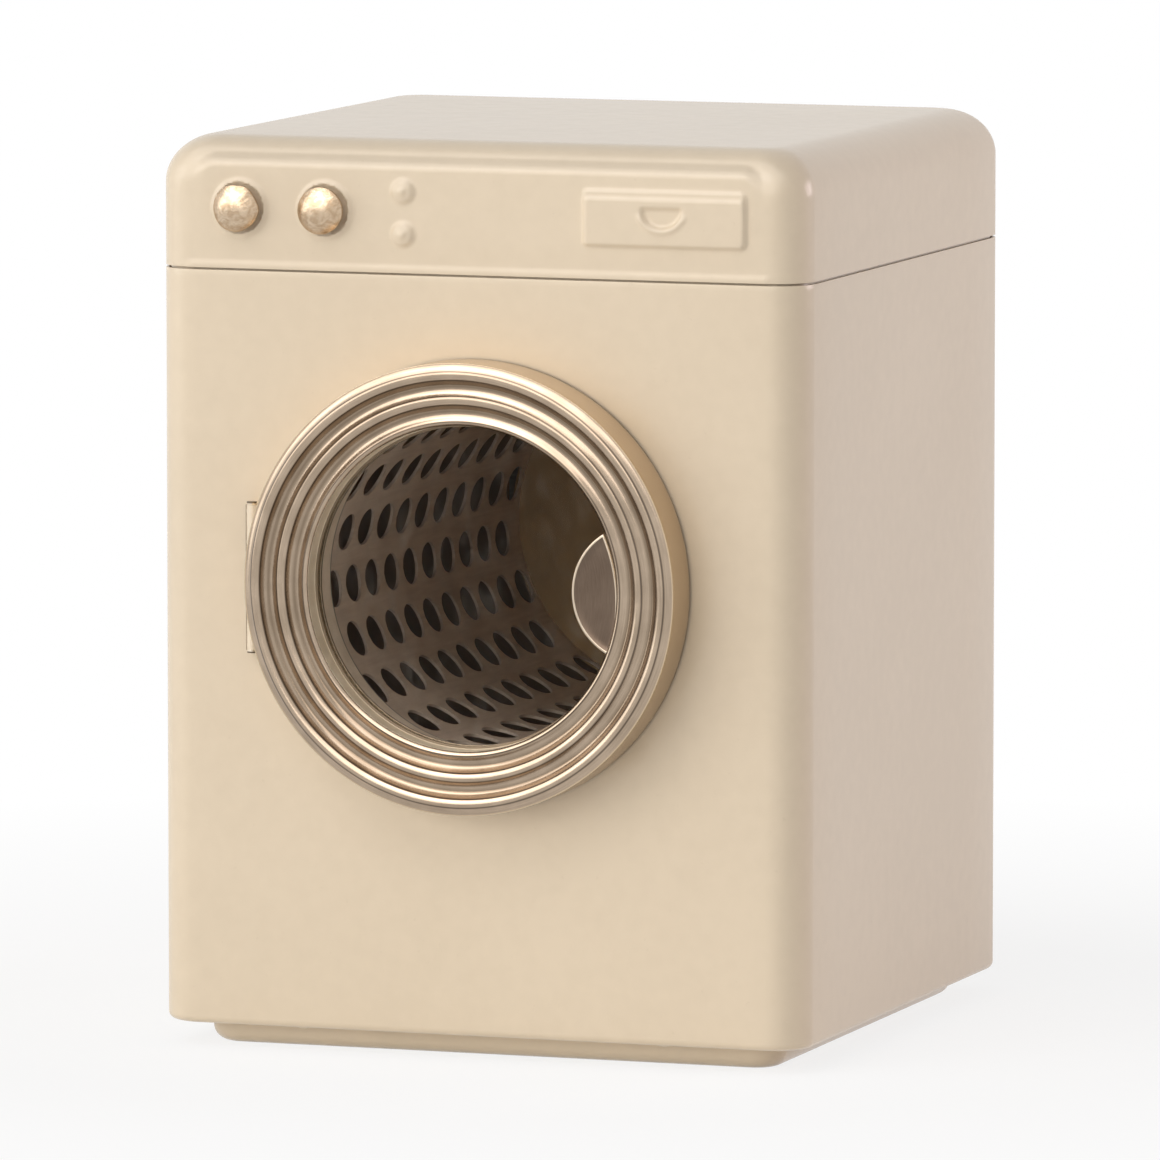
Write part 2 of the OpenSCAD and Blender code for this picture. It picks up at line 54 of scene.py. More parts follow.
# Sizes read from the frame
body_low, body_high = cad_box("body_shell")
lid_low, lid_high = cad_box("lid_shell")
ring_low, ring_high = cad_box("door_ring")
sleeve_high = cad_box("door_sleeve")[1]
plate_high = cad_box("door_back_plate")[1]
window_low, window_high = cad_box("door_window")
retainer_low, retainer_high = cad_box("window_retainer")
pull_low, pull_high = cad_box("door_pull")
throat_high = cad_box("throat_ring")[1]
hinge_low, hinge_high = cad_box("hinge_pin")
drum_low, drum_high = cad_box("drum_shell")
cap_low, cap_high = cad_box("drum_back")
collar_low, collar_high = cad_box("lid_collar")

BODY_W = body_high.x - body_low.x
FRONT_Y = body_low.y
BODY_D = -2 * FRONT_Y
FOOT_Z = body_low.z
SEAM_Z = body_high.z
LID_Z = lid_low.z
TOP_Z = lid_high.z
DOOR_R = ring_high.x
DOOR_Z = (ring_low.z + ring_high.z) / 2
DOOR_DEPTH = FRONT_Y - ring_low.y
DRUM_OUT_R = drum_high.x
MOUTH_Y = drum_low.y
DRUM_END_Y = drum_high.y

# Sheet metal
SHEET = 0.4
CORNER_R = 5.1
LOWER_EDGE_R = 1.0
PLINTH_INSET = 4.8
TRAY_CORNER_R = 4.1
TRAY_EDGE_R = 2.2
HEM_R = 0.12
CUT_EDGE_R = 0.08
EASE_STEPS = 2
CORNER_STEPS = 10
SEAM_RIDGE_W = 5.0
SEAM_RIDGE_END = 1.0
SEAM_RIDGE_FOOT_Z = 8.0
FOOT_GAP = 0.1
FLANGE_INSET = 0.7
COLLAR_CRIMP_UP = 5.0
COLLAR_DRAWN_IN = 0.3
COLLAR_LIP_IN = 0.45
# Width of the painted shade along the throat's inner end.
THROAT_SHADE_W = 0.45

# Top
TOP_EDGE_R = 6.2
TOP_CORNER_R = 2.8
TOP_CROWN = 0.25
PRESS_STEP = 0.27
PANEL_RISE = 0.12
PANEL_HALF_W = 38.6
PANEL_LOW = 2.3
PANEL_TOP = 14.2
PANEL_BEVEL = 2.0
HEM_RISE = 0.18
KNOB_PIT_R = 3.22
KNOB_PIT_DEPTH = 0.55
KNOB_PIT_SOFT = 0.2
KNOB_COLLAR_R = 3.75
KNOB_COLLAR_RISE = 0.32
KNOB_COLLAR_SOFT = 0.7
DRAWER_X = 25.6
DRAWER_UP = 7.95
DRAWER_W = 22.4
DRAWER_H = 7.2
DRAWER_RISE = 0.36
DRAWER_STEP_RISE = 0.3
DRAWER_SOFT = 0.45
RECESS_R = 2.7
RECESS_DEPTH = 0.5
RECESS_LIP_RISE = 0.3
BUTTON_X = -10.0
BUTTON_UPS = (5.0, 10.6)
BUTTON_R = 1.45
BUTTON_RISE = 0.56
BUTTON_SOFT = 0.85
NUB_R = 0.55
NUB_RISE = 0.3
NUB_SOFT = 0.6
KNOB_DOME_H = 1.5
KNOB_RIM_H = 0.6
KNOB_STEM_R = 0.9
KNOB_EDGE_GAP = 0.04
LEFT_BUMPS = ((-4, 0.035, 12), (22, -0.03, 8), (38, -0.045, 9), (66, 0.02, 7), (84, -0.02, 8),
              (118, 0.03, 8), (140, -0.02, 12), (200, -0.015, 20), (262, -0.012, 14), (300, -0.03, 16))
RIGHT_BUMPS = ((50, -0.012, 16), (190, 0.006, 20), (300, -0.01, 20))

# Door
RING_W = 8.2
DOOR_GAP = 0.35
MOULDINGS = 2.5
MOULDING_RISE = 1.05
RIDGE_SHARE = 0.3
COVE_SKEW = 0.07
BEAD_STEP = 0.14
BEAD_CROWN = 0.17
RING_DISH = 1.9
RIM_ROLL = 0.6
RIM_R = DOOR_R - RING_W
RIDGE_TILT = RING_DISH / MOULDINGS / 2 * (1 - RIDGE_SHARE)
RING_EDGE_H = DOOR_DEPTH - MOULDING_RISE + RIDGE_TILT
RIM_H = RING_EDGE_H - RING_DISH + MOULDING_RISE - RIM_ROLL
LINING_H = RIM_H - 0.2
THROAT_OUT_R = RIM_R + 1.3
THROAT_HOLE_R = THROAT_OUT_R + FOOT_GAP
NOTCH_H = 0.8
NOTCH_HALF = 9.9
NOTCH_SOFT = 0.7
TONGUE_H = 1.5
TONGUE_HALF = 3.3
PULL_R = 9.0
PULL_W = 6.3
PULL_T = 0.5
PULL_HEM_W = 0.2
PULL_TILT = math.radians(2.8)
PULL_SHIFT = (-0.2, -0.25)

# Drum
HOLE_D = 5.2
HOLE_LONG = 5.7
HOLE_ROUND = 4.9
HOLE_ROWS = 20
HOLES_IN_ROW = 10
HOLE_PITCH = 7.3
HOLE_MARGIN = 1.0
HOLE_TURN = math.radians(5.7)
TILE_SIDE = 4

TURN_STEPS = 192
SHARP = math.radians(38)


# Meshes

def weld(mesh, outward=True):
    """Merges doubled points and turns the faces outwards."""
    work = bmesh.new()
    work.from_mesh(mesh)
    bmesh.ops.remove_doubles(work, verts=work.verts, dist=1e-6)
    if outward:
        bmesh.ops.recalc_face_normals(work, faces=work.faces)
        middle = sum((vert.co for vert in work.verts), Vector()) / max(1, len(work.verts))
        facing = sum(face.normal.dot(face.calc_center_median() - middle) * face.calc_area()
                     for face in work.faces)
        if facing < 0:
            bmesh.ops.reverse_faces(work, faces=work.faces)
    work.to_mesh(mesh)
    work.free()


def make_piece(name, points, faces, finish):
    mesh = bpy.data.meshes.new(name)
    mesh.from_pydata([Vector(point) * MM for point in points], [], faces)
    piece = bpy.data.objects.new(name, mesh)
    bpy.context.scene.collection.objects.link(piece)
    weld(mesh)
    mesh.materials.append(finish)
    return piece


def settle(piece, sharp=SHARP):
    """Turns a piece with its modifiers into a plain mesh, smooth but for its sharp edges."""
    graph = bpy.context.evaluated_depsgraph_get()
    mesh = bpy.data.meshes.new_from_object(piece.evaluated_get(graph), depsgraph=graph)
    piece.modifiers.clear()
    piece.data = mesh
    mesh.shade_smooth()
    mesh.set_sharp_from_angle(angle=sharp)
    return piece


def thicken(piece, outward=False, lining=None):
    """Gives a sheet its thickness; lining is the finish of its inner side."""
    solid = piece.modifiers.new("wall", "SOLIDIFY")
    if lining:
        piece.data.materials.append(lining)
        solid.material_offset = 1
    solid.thickness = SHEET * MM
    solid.offset = 1 if outward else -1
    solid.use_even_offset = True


def ease_edges(piece, width, angle):
    """Gives sharp edges a small round."""
    bevel = piece.modifiers.new("edges", "BEVEL")
    bevel.width = width * MM
    bevel.segments = EASE_STEPS
    bevel.limit_method = "ANGLE"
    bevel.angle_limit = math.radians(angle)


def place(piece, body, slot, *nodes):
    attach(piece, body)
    if nodes:
        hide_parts(*nodes)
    return piece


def smooth_step(value):
    value = min(max(value, 0.0), 1.0)
    return value * value * (3 - 2 * value)


def ramp(inside, width):
    """0 outside an edge and 1 inside it, with a soft slope of that width on the edge."""
    return smooth_step(inside / width + 0.5)


def inside_box(x, z, centre_x, centre_z, width, height, radius):
    """Distance in from the edge of a rectangle with round corners, negative outside it."""
    over_x = abs(x - centre_x) - (width / 2 - radius)
    over_z = abs(z - centre_z) - (height / 2 - radius)
    outer = math.hypot(max(over_x, 0), max(over_z, 0))
    return radius - outer - min(max(over_x, over_z), 0)


def spread(low, high, step):
    """Even places from low to high, no further apart than step."""
    count = max(1, math.ceil((high - low) / step))
    return [low + (high - low) * k / count for k in range(count + 1)]


def plan_outline(width, depth, radius, marks):
    """Points round a rectangle with round corners, from the front's left end, anticlockwise.
    Each of the four marks lists says where its straight side has points, from -1 to 1."""
    half_w, half_d = width / 2 - radius, depth / 2 - radius
    points = []
    for side, (run, reach) in enumerate([(half_w, half_d), (half_d, half_w)] * 2):
        edge = [(mark * run, -reach - radius) for mark in marks[side]]
        for k in range(1, CORNER_STEPS):
            angle = math.pi / 2 * k / CORNER_STEPS
            edge.append((run + radius * math.sin(angle), -reach - radius * math.cos(angle)))
        turn_c, turn_s = [(1, 0), (0, 1), (-1, 0), (0, -1)][side]
        points += [(x * turn_c - y * turn_s, x * turn_s + y * turn_c) for x, y in edge]
    return points


def band(first, second, count):
    """Faces between two rings of points, each given by the number of its first point."""
    return [(first + k, first + (k + 1) % count, second + (k + 1) % count, second + k)
            for k in range(count)]


def wrap_levels(levels, marks, relief=None):
    """Points and faces of a sheet that goes round the cabinet, one ring of points per level.
    A level is (inset from the walls, height, corner radius)."""
    points = []
    for inset, height, radius in levels:
        ring = plan_outline(BODY_W - 2 * inset, BODY_D - 2 * inset, radius, marks)
        points += [(x, y, height) for x, y in ring]
    count = len(points) // len(levels)
    faces = [face for row in range(len(levels) - 1)
             for face in band(row * count, (row + 1) * count, count)]
    if relief:
        points = [relief(*point) for point in points]
    return points, faces, count


def cap_level(points, faces, count, crown=0.0, shares=(0.8, 0.5, 0.2)):
    """Closes the last ring with rings that shrink to a point in the middle."""
    rim = points[-count:]
    base = len(points) - count
    for step, share in enumerate(shares):
        height = crown * (1 - share * share)
        points += [(x * share, y * share, z + height) for x, y, z in rim]
        start = base + step * count
        faces += band(start, start + count, count)
    points.append((0, 0, rim[0][2] + crown))
    start = len(points) - 1 - count
    faces += [(start + k, start + (k + 1) % count, len(points) - 1) for k in range(count)]


def quarter(centre_z, radius, start, stop, steps, corner):
    """Levels along a round edge; angles from the wall's side, 0, to the top, 90 degrees.
    corner gives the corner radius at an inset."""
    levels = []
    for k in range(steps + 1):
        angle = math.radians(start + (stop - start) * k / steps)
        inset = radius - radius * math.cos(angle)
        levels.append((inset, centre_z + radius * math.sin(angle), corner(inset)))
    return levels


def soften(corners, radius, steps=3):
    """Rounds each corner of a closed outline."""
    points = []
    for k, corner in enumerate(corners):
        here = Vector(corner)
        before, after = Vector(corners[k - 1]), Vector(corners[(k + 1) % len(corners)])
        start = here + (before - here).normalized() * min(radius, (before - here).length * 0.45)
        end = here + (after - here).normalized() * min(radius, (after - here).length * 0.45)
        for step in range(steps + 1):
            t = step / steps
            points.append(tuple(start * (1 - t) ** 2 + here * 2 * t * (1 - t) + end * t * t))
    return points


def lathe(name, outline, finish, centre=(0.0, DOOR_Z), steps=TURN_STEPS, shape=None):
    """Turns a closed outline of (radius, y) points round an axis along Y.
    shape(angle) scales the radius, for a rim that isn't quite round."""
    points, faces = [], []
    count = len(outline)
    for turn in range(steps):
        angle = 2 * math.pi * turn / steps
        scale = shape(angle) if shape else 1.0
        points += [(centre[0] + r * scale * math.cos(angle), y, centre[1] + r * scale * math.sin(angle))
                   for r, y in outline]
        faces += band(turn * count, (turn + 1) % steps * count, count)
    piece = make_piece(name, points, faces, finish)
    return settle(piece)


def dress_node(node, finish):
    """A copy of a CAD node, merged and with its edges eased, that stands for the node."""
    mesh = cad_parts[node].data.copy()
    piece = bpy.data.objects.new("dressed_" + node, mesh)
    bpy.context.scene.collection.objects.link(piece)
    weld(mesh, outward=False)
    mesh.materials.clear()
    mesh.materials.append(finish)
    ease_edges(piece, CUT_EDGE_R, angle=40)
    return settle(piece)


# Node trees

class Term:
    """A number in a node tree, on which sums are written as in plain code."""

    def __init__(self, tree, value):
        self.tree = tree
        self.value = value.value if isinstance(value, Term) else value

    def join(self, operation, *others):
        node = self.tree.add("ShaderNodeMath", operation=operation)
        for socket, value in zip(node.inputs, (self,) + others):
            self.tree.feed(socket, value)
        return Term(self.tree, node.outputs[0])

    def __add__(self, other):
        return self.join("ADD", other)

    def __radd__(self, other):
        return self.join("ADD", other)

    def __sub__(self, other):
        return self.join("SUBTRACT", other)

    def __rsub__(self, other):
        return Term(self.tree, other).join("SUBTRACT", self)

    def __mul__(self, other):
        return self.join("MULTIPLY", other)

    def __truediv__(self, other):
        return self.join("DIVIDE", other)


class Tree:
    """Short calls for making the nodes of a tree."""

    def __init__(self, nodes_of):
        self.made = nodes_of

    def add(self, kind, inputs=None, **settings):
        node = self.made.nodes.new(kind)
        for name, value in settings.items():
            setattr(node, name, value)
        for name, value in (inputs or {}).items():
            self.feed(node.inputs[name], value)
        return node

    def feed(self, socket, value):
        value = value.value if isinstance(value, Term) else value
        if isinstance(value, bpy.types.NodeSocket):
            self.made.links.new(value, socket)
        else:
            socket.default_value = value

    def parts(self, vector):
        node = self.add("ShaderNodeSeparateXYZ", {0: vector})
        return [Term(self, socket) for socket in node.outputs]

    def vector(self, x, y, z):
        return self.add("ShaderNodeCombineXYZ", {0: x, 1: y, 2: z}).outputs[0]


class GeometryRule(Tree):
    """A Geometry Nodes tree with named inputs, run once on a piece."""

    def __init__(self, name, lengths, counts):
        super().__init__(bpy.data.node_groups.new(name, "GeometryNodeTree"))
        face = self.made.interface
        face.new_socket("Geometry", in_out="INPUT", socket_type="NodeSocketGeometry")
        face.new_socket("Geometry", in_out="OUTPUT", socket_type="NodeSocketGeometry")
        self.values = {}
        for kind, group in (("NodeSocketFloat", lengths), ("NodeSocketInt", counts)):
            for label, value in group.items():
                socket = face.new_socket(label, in_out="INPUT", socket_type=kind)
                self.values[socket.identifier] = value
        finish = face.new_socket("Finish", in_out="INPUT", socket_type="NodeSocketMaterial")
        self.finish_socket = finish.identifier
        self.entry = self.add("NodeGroupInput")

    def given(self, label):
        return Term(self, self.entry.outputs[label])

    def close(self, geometry):
        solid = self.add("GeometryNodeRealizeInstances", {0: geometry}).outputs[0]
        dressed = self.add("GeometryNodeSetMaterial",
                           {"Geometry": solid, "Material": self.entry.outputs["Finish"]})
        self.add("NodeGroupOutput", {0: dressed.outputs[0]})

    def run(self, piece, finish):
        """Grows the piece by the rule and keeps the result as its plain mesh."""
        modifier = piece.modifiers.new(self.made.name, "NODES")
        modifier.node_group = self.made
        for identifier, value in self.values.items():
            modifier[identifier] = value
        modifier[self.finish_socket] = finish
        graph = bpy.context.evaluated_depsgraph_get()
        mesh = bpy.data.meshes.new_from_object(piece.evaluated_get(graph), depsgraph=graph)
        piece.modifiers.clear()
        piece.data = mesh
        weld(mesh)
        return piece


# Finishes

def srgb(red, green, blue):
    """A colour as read off a screen, 0 to 255, as the shader wants it."""
    def linear(level):
        level /= 255
        return level / 12.92 if level <= 0.04045 else ((level + 0.055) / 1.055) ** 2.4
    return (linear(red), linear(green), linear(blue), 1.0)


class Finish(Tree):
    """A material with one Principled shader, fed by patterns at real scale."""

    def __init__(self, name, **fixed):
        self.material = bpy.data.materials.new(name)
        self.material.use_nodes = True
        super().__init__(self.material.node_tree)
        self.made.nodes.clear()
        self.shader = self.add("ShaderNodeBsdfPrincipled")
        self.output = self.add("ShaderNodeOutputMaterial", {0: self.shader.outputs[0]})
        for label, value in fixed.items():
            self.shader.inputs[label.replace("_", " ")].default_value = value
        self.coordinates = self.add("ShaderNodeTexCoord").outputs["Object"]
        self.height = None

    def noise(self, size, detail=3.0, stretch=(1, 1, 1), distortion=0.0, at=None):
        """Noise whose grain is about that many millimetres, drawn out along some axes."""
        where = at or self.coordinates
        if stretch != (1, 1, 1):
            where = self.add("ShaderNodeMapping", {"Vector": where, "Scale": stretch}).outputs[0]
        node = self.add("ShaderNodeTexNoise", {"Vector": where, "Scale": 1 / (size * MM),
                                               "Detail": detail, "Distortion": distortion})
        return Term(self, node.outputs[0])

    def limit(self, value, low, high, to_low=0.0, to_high=1.0):
        node = self.add("ShaderNodeMapRange", {0: value, 1: low, 2: high, 3: to_low, 4: to_high})
        return Term(self, node.outputs[0])

    def blend(self, share, first, second):
        node = self.add("ShaderNodeMix", data_type="RGBA")
        self.feed(node.inputs[0], share)
        self.feed(node.inputs[6], first)
        self.feed(node.inputs[7], second)
        return node.outputs[2]

    def colour(self, value):
        self.feed(self.shader.inputs["Base Color"], value)

    def roughness(self, value):
        self.feed(self.shader.inputs["Roughness"], value)

    def mottled(self, pattern, first, second):
        """Two colours that run into each other by a pattern."""
        return self.blend(self.limit(pattern, 0.35, 0.65), first, second)

    def rough_by(self, pattern, low, high):
        """Roughness that follows a pattern."""
        self.roughness(self.limit(pattern, 0.3, 0.7, low, high))

    def emboss(self, height, depth):
        """Adds a relief of that depth in millimetres."""
        node = self.add("ShaderNodeBump", {"Height": height, "Distance": depth * MM})
        if self.height:
            self.feed(node.inputs["Normal"], self.height)
        self.height = node.outputs[0]
        self.feed(self.shader.inputs["Normal"], self.height)

    def around_axis(self):
        """Distance from the door's axis, the angle round it, and the place along it."""
        across, along, up = self.parts(self.coordinates)
        up = up - DOOR_Z * MM
        radius = (across * across + up * up).join("SQRT")
        angle = up.join("ARCTAN2", across)
        return radius, angle, along


def direct_rays(tree):
    """1 for what the camera, a reflection or a clear pane sees, and 0 for light on others."""
    path = tree.add("ShaderNodeLightPath").outputs
    seen = Term(tree, path["Is Camera Ray"]).join("MAXIMUM", path["Is Glossy Ray"])
    return seen.join("MAXIMUM", path["Is Transmission Ray"])


def cream_enamel():
    finish = Finish("cream_enamel", Specular_IOR_Level=0.5)
    broad = finish.noise(34, 2)
    fine = finish.noise(2.2, 3)
    tone = finish.limit(broad * 0.6 + fine * 0.4, 0.38, 0.62)
    cream = finish.blend(tone, srgb(217, 200, 175), srgb(221, 204, 179))
    speck = finish.limit(finish.noise(0.9, 2), 0.72, 0.78)
    finish.colour(finish.blend(speck * 0.1, cream, srgb(186, 166, 138)))
    finish.rough_by(fine, 0.245, 0.262)
    finish.emboss(finish.noise(16, 1), 0.02)
    finish.emboss(finish.noise(1.1, 2), 0.002)
    return finish.material


def turned_lacquer(name, light, dark, coat_rough, rough):
    """Lacquered metal with fine lines round the door's axis, and its clouded colour."""
    finish = Finish(name, Metallic=1.0, Coat_Weight=0.25, Coat_Roughness=coat_rough)
    radius, angle, along = finish.around_axis()
    lines = finish.noise(0.16, 2, at=finish.vector(radius, angle * 0.0012, along * 0.3))
    cloud = finish.noise(5, 3)
    metal = finish.blend(finish.limit(cloud * 0.6 + lines * 0.4, 0.36, 0.64), dark, light)
    finish.roughness(finish.limit(cloud + lines * 0.5, 0.5, 1.0, *rough))
    finish.emboss(lines, 0.0025)
    finish.emboss(finish.noise(0.5, 2), 0.002)
    return finish, metal, radius


def lacquered_gold(name="pale_gold", light=srgb(176, 156, 131), dark=srgb(150, 129, 103)):
    finish, metal, _ = turned_lacquer(name, light, dark, 0.1, (0.29, 0.37))
    finish.colour(metal)
    return finish.material


def moulded_gold():
    """Lacquered metal of the ring, with painted shade in the hollows, painted dark lines of shade along
    the beads' feet, and a skirt painted lighter as a painted sheen.
    """
    finish, metal, radius = turned_lacquer(
        "moulded_gold", srgb(184, 165, 144), srgb(162, 144, 124), 0.12, (0.2, 0.265))
    across = (DOOR_R * MM - radius) / (RING_W * MM)
    share = (across * MOULDINGS + COVE_SKEW).join("FRACT")
    from_bead = (share - (0.5 + COVE_SKEW)).join("ABSOLUTE")
    on_face = finish.limit(across, 0.01, 0.03)
    to_next = finish.limit(share, 0.86, 0.98)
    # Painted shade: the coves are darkened where shade falls in them, on the face only.
    cove_shade = finish.limit(share, 0.02, 0.16, 1.0, 0.0).join("MAXIMUM", to_next) * on_face
    from_foot = (from_bead - RIDGE_SHARE / 2 - 0.02).join("ABSOLUTE")
    # Painted shade: thin dark lines along the feet of the beads.
    foot = finish.limit(from_foot, 0.005, 0.05, 1.0, 0.0) * on_face
    # Painted sheen: the skirt gets a lighter colour than the ring's face.
    metal = finish.blend(on_face, srgb(198, 178, 150), metal)
    metal = finish.blend(cove_shade * 0.6, metal, srgb(96, 78, 58))
    finish.colour(finish.blend(foot * 0.8, metal, srgb(56, 40, 26)))
    return finish.material


def satin_lining():
    """Dull lacquered sheet of the door's inner wall, with painted shade in a narrow ring at the window's
    seat.
    """
    finish = Finish("satin_lining", Metallic=0.1)
    cloud = finish.noise(3, 3)
    radius, _, _ = finish.around_axis()
    # Painted shade: a narrow dark ring where the window sits.
    seat_shade = finish.limit(radius, (RIM_R - 0.12) * MM, (RIM_R - 0.04) * MM, 1.0, 0.0)
    lacquer = finish.mottled(cloud, srgb(222, 203, 174), srgb(234, 217, 190))
    finish.colour(finish.blend(seat_shade, lacquer, srgb(128, 110, 86)))
    finish.rough_by(cloud, 0.42, 0.54)
    finish.emboss(finish.noise(0.6, 2), 0.004)
    return finish.material


def throat_lacquer():
    """Light lacquer of the throat, with painted shade along its inner end."""
    finish = Finish("throat_lacquer")
    cloud = finish.noise(3, 3)
    lacquer = finish.mottled(cloud, srgb(226, 208, 184), srgb(240, 224, 202))
    _, along, _ = finish.parts(finish.coordinates)
    # Painted shade: the last part of the throat towards the drum is darkened.
    to_end = along - (throat_high.y - THROAT_SHADE_W) * MM
    throat_end_shade = finish.limit(to_end, -0.1 * MM, 0.1 * MM)
    finish.colour(finish.blend(throat_end_shade * 0.85, lacquer, srgb(46, 35, 24)))
    finish.rough_by(cloud, 0.3, 0.42)
    finish.emboss(finish.noise(0.6, 2), 0.004)
    return finish.material


def chipped_enamel():
    """Cream enamel of the hinge, with a painted dark line of shade along the barrel's outer side and ends.
    """
    finish = Finish("chipped_enamel", Specular_IOR_Level=0.5)
    across, _, up = finish.parts(finish.coordinates)
    ragged = finish.noise(0.5, 3) * (0.2 * MM)
    from_side = across - (hinge_low.x * MM) + ragged
    from_top = (hinge_high.z * MM) - up + ragged
    from_foot = up - (hinge_low.z * MM) + ragged
    nearest = from_side.join("MINIMUM", from_top).join("MINIMUM", from_foot)
    # Painted shade: a dark line along the barrel's outer side and its ends.
    edge_shade = finish.limit(nearest, 0.22 * MM, 0.34 * MM, 1.0, 0.0)
    tone = finish.noise(2.2, 3)
    cream = finish.blend(tone, srgb(222, 206, 180), srgb(232, 217, 194))
    finish.colour(finish.blend(edge_shade * 0.8, cream, srgb(104, 84, 60)))
    finish.rough_by(tone, 0.245, 0.262)
    return finish.material


def pin_metal():
    """Pale plated metal of the hinge pin, with a painted dark line of shade round each end."""
    finish = Finish("pin_metal", Metallic=1.0)
    _, _, up = finish.parts(finish.coordinates)
    middle = (hinge_low.z + hinge_high.z) / 2
    half_length = (hinge_high.z - hinge_low.z) / 2
    from_end = half_length * MM - (up - middle * MM).join("ABSOLUTE")
    # Painted shade: a dark line round each end of the pin.
    pin_end_shade = finish.limit(from_end, 0.14 * MM, 0.24 * MM, 1.0, 0.0)
    pale = finish.blend(finish.noise(4, 4), srgb(206, 193, 174), srgb(232, 220, 202))
    finish.colour(finish.blend(pin_end_shade * 0.9, pale, srgb(72, 56, 40)))
    finish.rough_by(finish.noise(2, 2), 0.32, 0.42)
    return finish.material


def bare_tin():
    """Dull brown lacquer on the inner side of the sheets."""
    finish = Finish("bare_tin", Specular_IOR_Level=0.2)
    cloud = finish.noise(7, 4)
    finish.colour(finish.mottled(cloud, srgb(148, 116, 86), srgb(166, 132, 100)))
    finish.rough_by(cloud, 0.6, 0.75)
    return finish.material


def scratched_gilt():
    finish = Finish("scratched_gilt", Metallic=1.0)
    wear = finish.noise(1.3, 4, distortion=1.5)
    scratch = finish.noise(0.55, 3, stretch=(0.6, 1.0, 2.8), distortion=1.6)
    scratch = finish.limit((scratch - 0.5).join("ABSOLUTE"), 0.0, 0.05, 1.0, 0.0)
    gilt = finish.mottled(wear, srgb(186, 161, 132), srgb(212, 191, 165))
    finish.colour(finish.blend(scratch * 0.25, gilt, srgb(140, 112, 82)))
    finish.rough_by(wear, 0.17, 0.26)
    finish.emboss(scratch, -0.006)
    finish.emboss(wear, 0.01)
    return finish.material


def plain_metal(name, light, dark, rough, grain=0.6):
    """Bare or plated metal with faint cloudiness and fine rolling marks."""
    finish = Finish(name, Metallic=1.0)
    cloud = finish.noise(4, 4)
    marks = finish.noise(grain, 2, stretch=(0.15, 1, 1))
    finish.colour(finish.mottled(cloud * 0.5 + marks * 0.5, dark, light))
    finish.rough_by(cloud, rough - 0.06, rough + 0.08)
    finish.emboss(marks, 0.003)
    return finish.material


def drum_metal():
    """Brown-grey tinned sheet of the drum, duller than the ring."""
    finish = Finish("drum_metal", Metallic=0.2)
    radius, angle, along = finish.around_axis()
    rolled = finish.noise(0.5, 2, at=finish.vector(radius, angle * 0.023, along * 0.08))
    cloud = finish.noise(6, 3)
    finish.colour(finish.mottled(cloud * 0.6 + rolled * 0.4, srgb(204, 184, 165), srgb(224, 206, 187)))
    finish.rough_by(cloud, 0.42, 0.54)
    finish.emboss(rolled, 0.004)
    return finish.material


def dull_brown():
    """Dull brown lacquer on the drum's end cap."""
    finish = Finish("dull_brown", Metallic=0.3)
    cloud = finish.noise(8, 4)
    finish.colour(finish.mottled(cloud, srgb(160, 129, 86), srgb(178, 147, 102)))
    finish.rough_by(cloud, 0.5, 0.62)
    finish.emboss(finish.noise(1.2, 3), 0.006)
    return finish.material


def clear_window():
    """Thin clear plastic that lets the light through, with faint wiping marks."""
    finish = Finish("clear_window", IOR=1.45)
    smear = finish.noise(2.4, 4, stretch=(1, 1, 0.5), distortion=1.2)
    finish.colour(finish.blend(smear, srgb(170, 160, 146), srgb(200, 192, 180)))
    finish.rough_by(smear, 0.06, 0.16)
    finish.feed(finish.shader.inputs["Alpha"], finish.limit(smear, 0.52, 0.78, 0.008, 0.05))
    return finish.material


def dark_ferrite():
    finish = Finish("dark_ferrite")
    grain = finish.noise(0.35, 4)
    finish.colour(finish.blend(finish.limit(grain, 0.3, 0.7), srgb(42, 41, 43), srgb(70, 68, 69)))
    finish.rough_by(grain, 0.55, 0.7)
    finish.emboss(grain, 0.01)
    return finish.material


CREAM = cream_enamel()
GOLD = lacquered_gold()
RING_GOLD = moulded_gold()
LINING = satin_lining()
THROAT = throat_lacquer()
HINGE = chipped_enamel()
BARE = bare_tin()
GILT = scratched_gilt()
BRASS = plain_metal("brass", srgb(214, 184, 132), srgb(186, 152, 98), 0.36)
STEEL = plain_metal("zinc_steel", srgb(176, 172, 166), srgb(142, 138, 133), 0.38)
SNAP = plain_metal("snap_ring_steel", srgb(156, 140, 118), srgb(130, 115, 95), 0.42)
PIN = pin_metal()
DRUM = drum_metal()
CLEAR = clear_window()
FERRITE = dark_ferrite()


# Cabinet

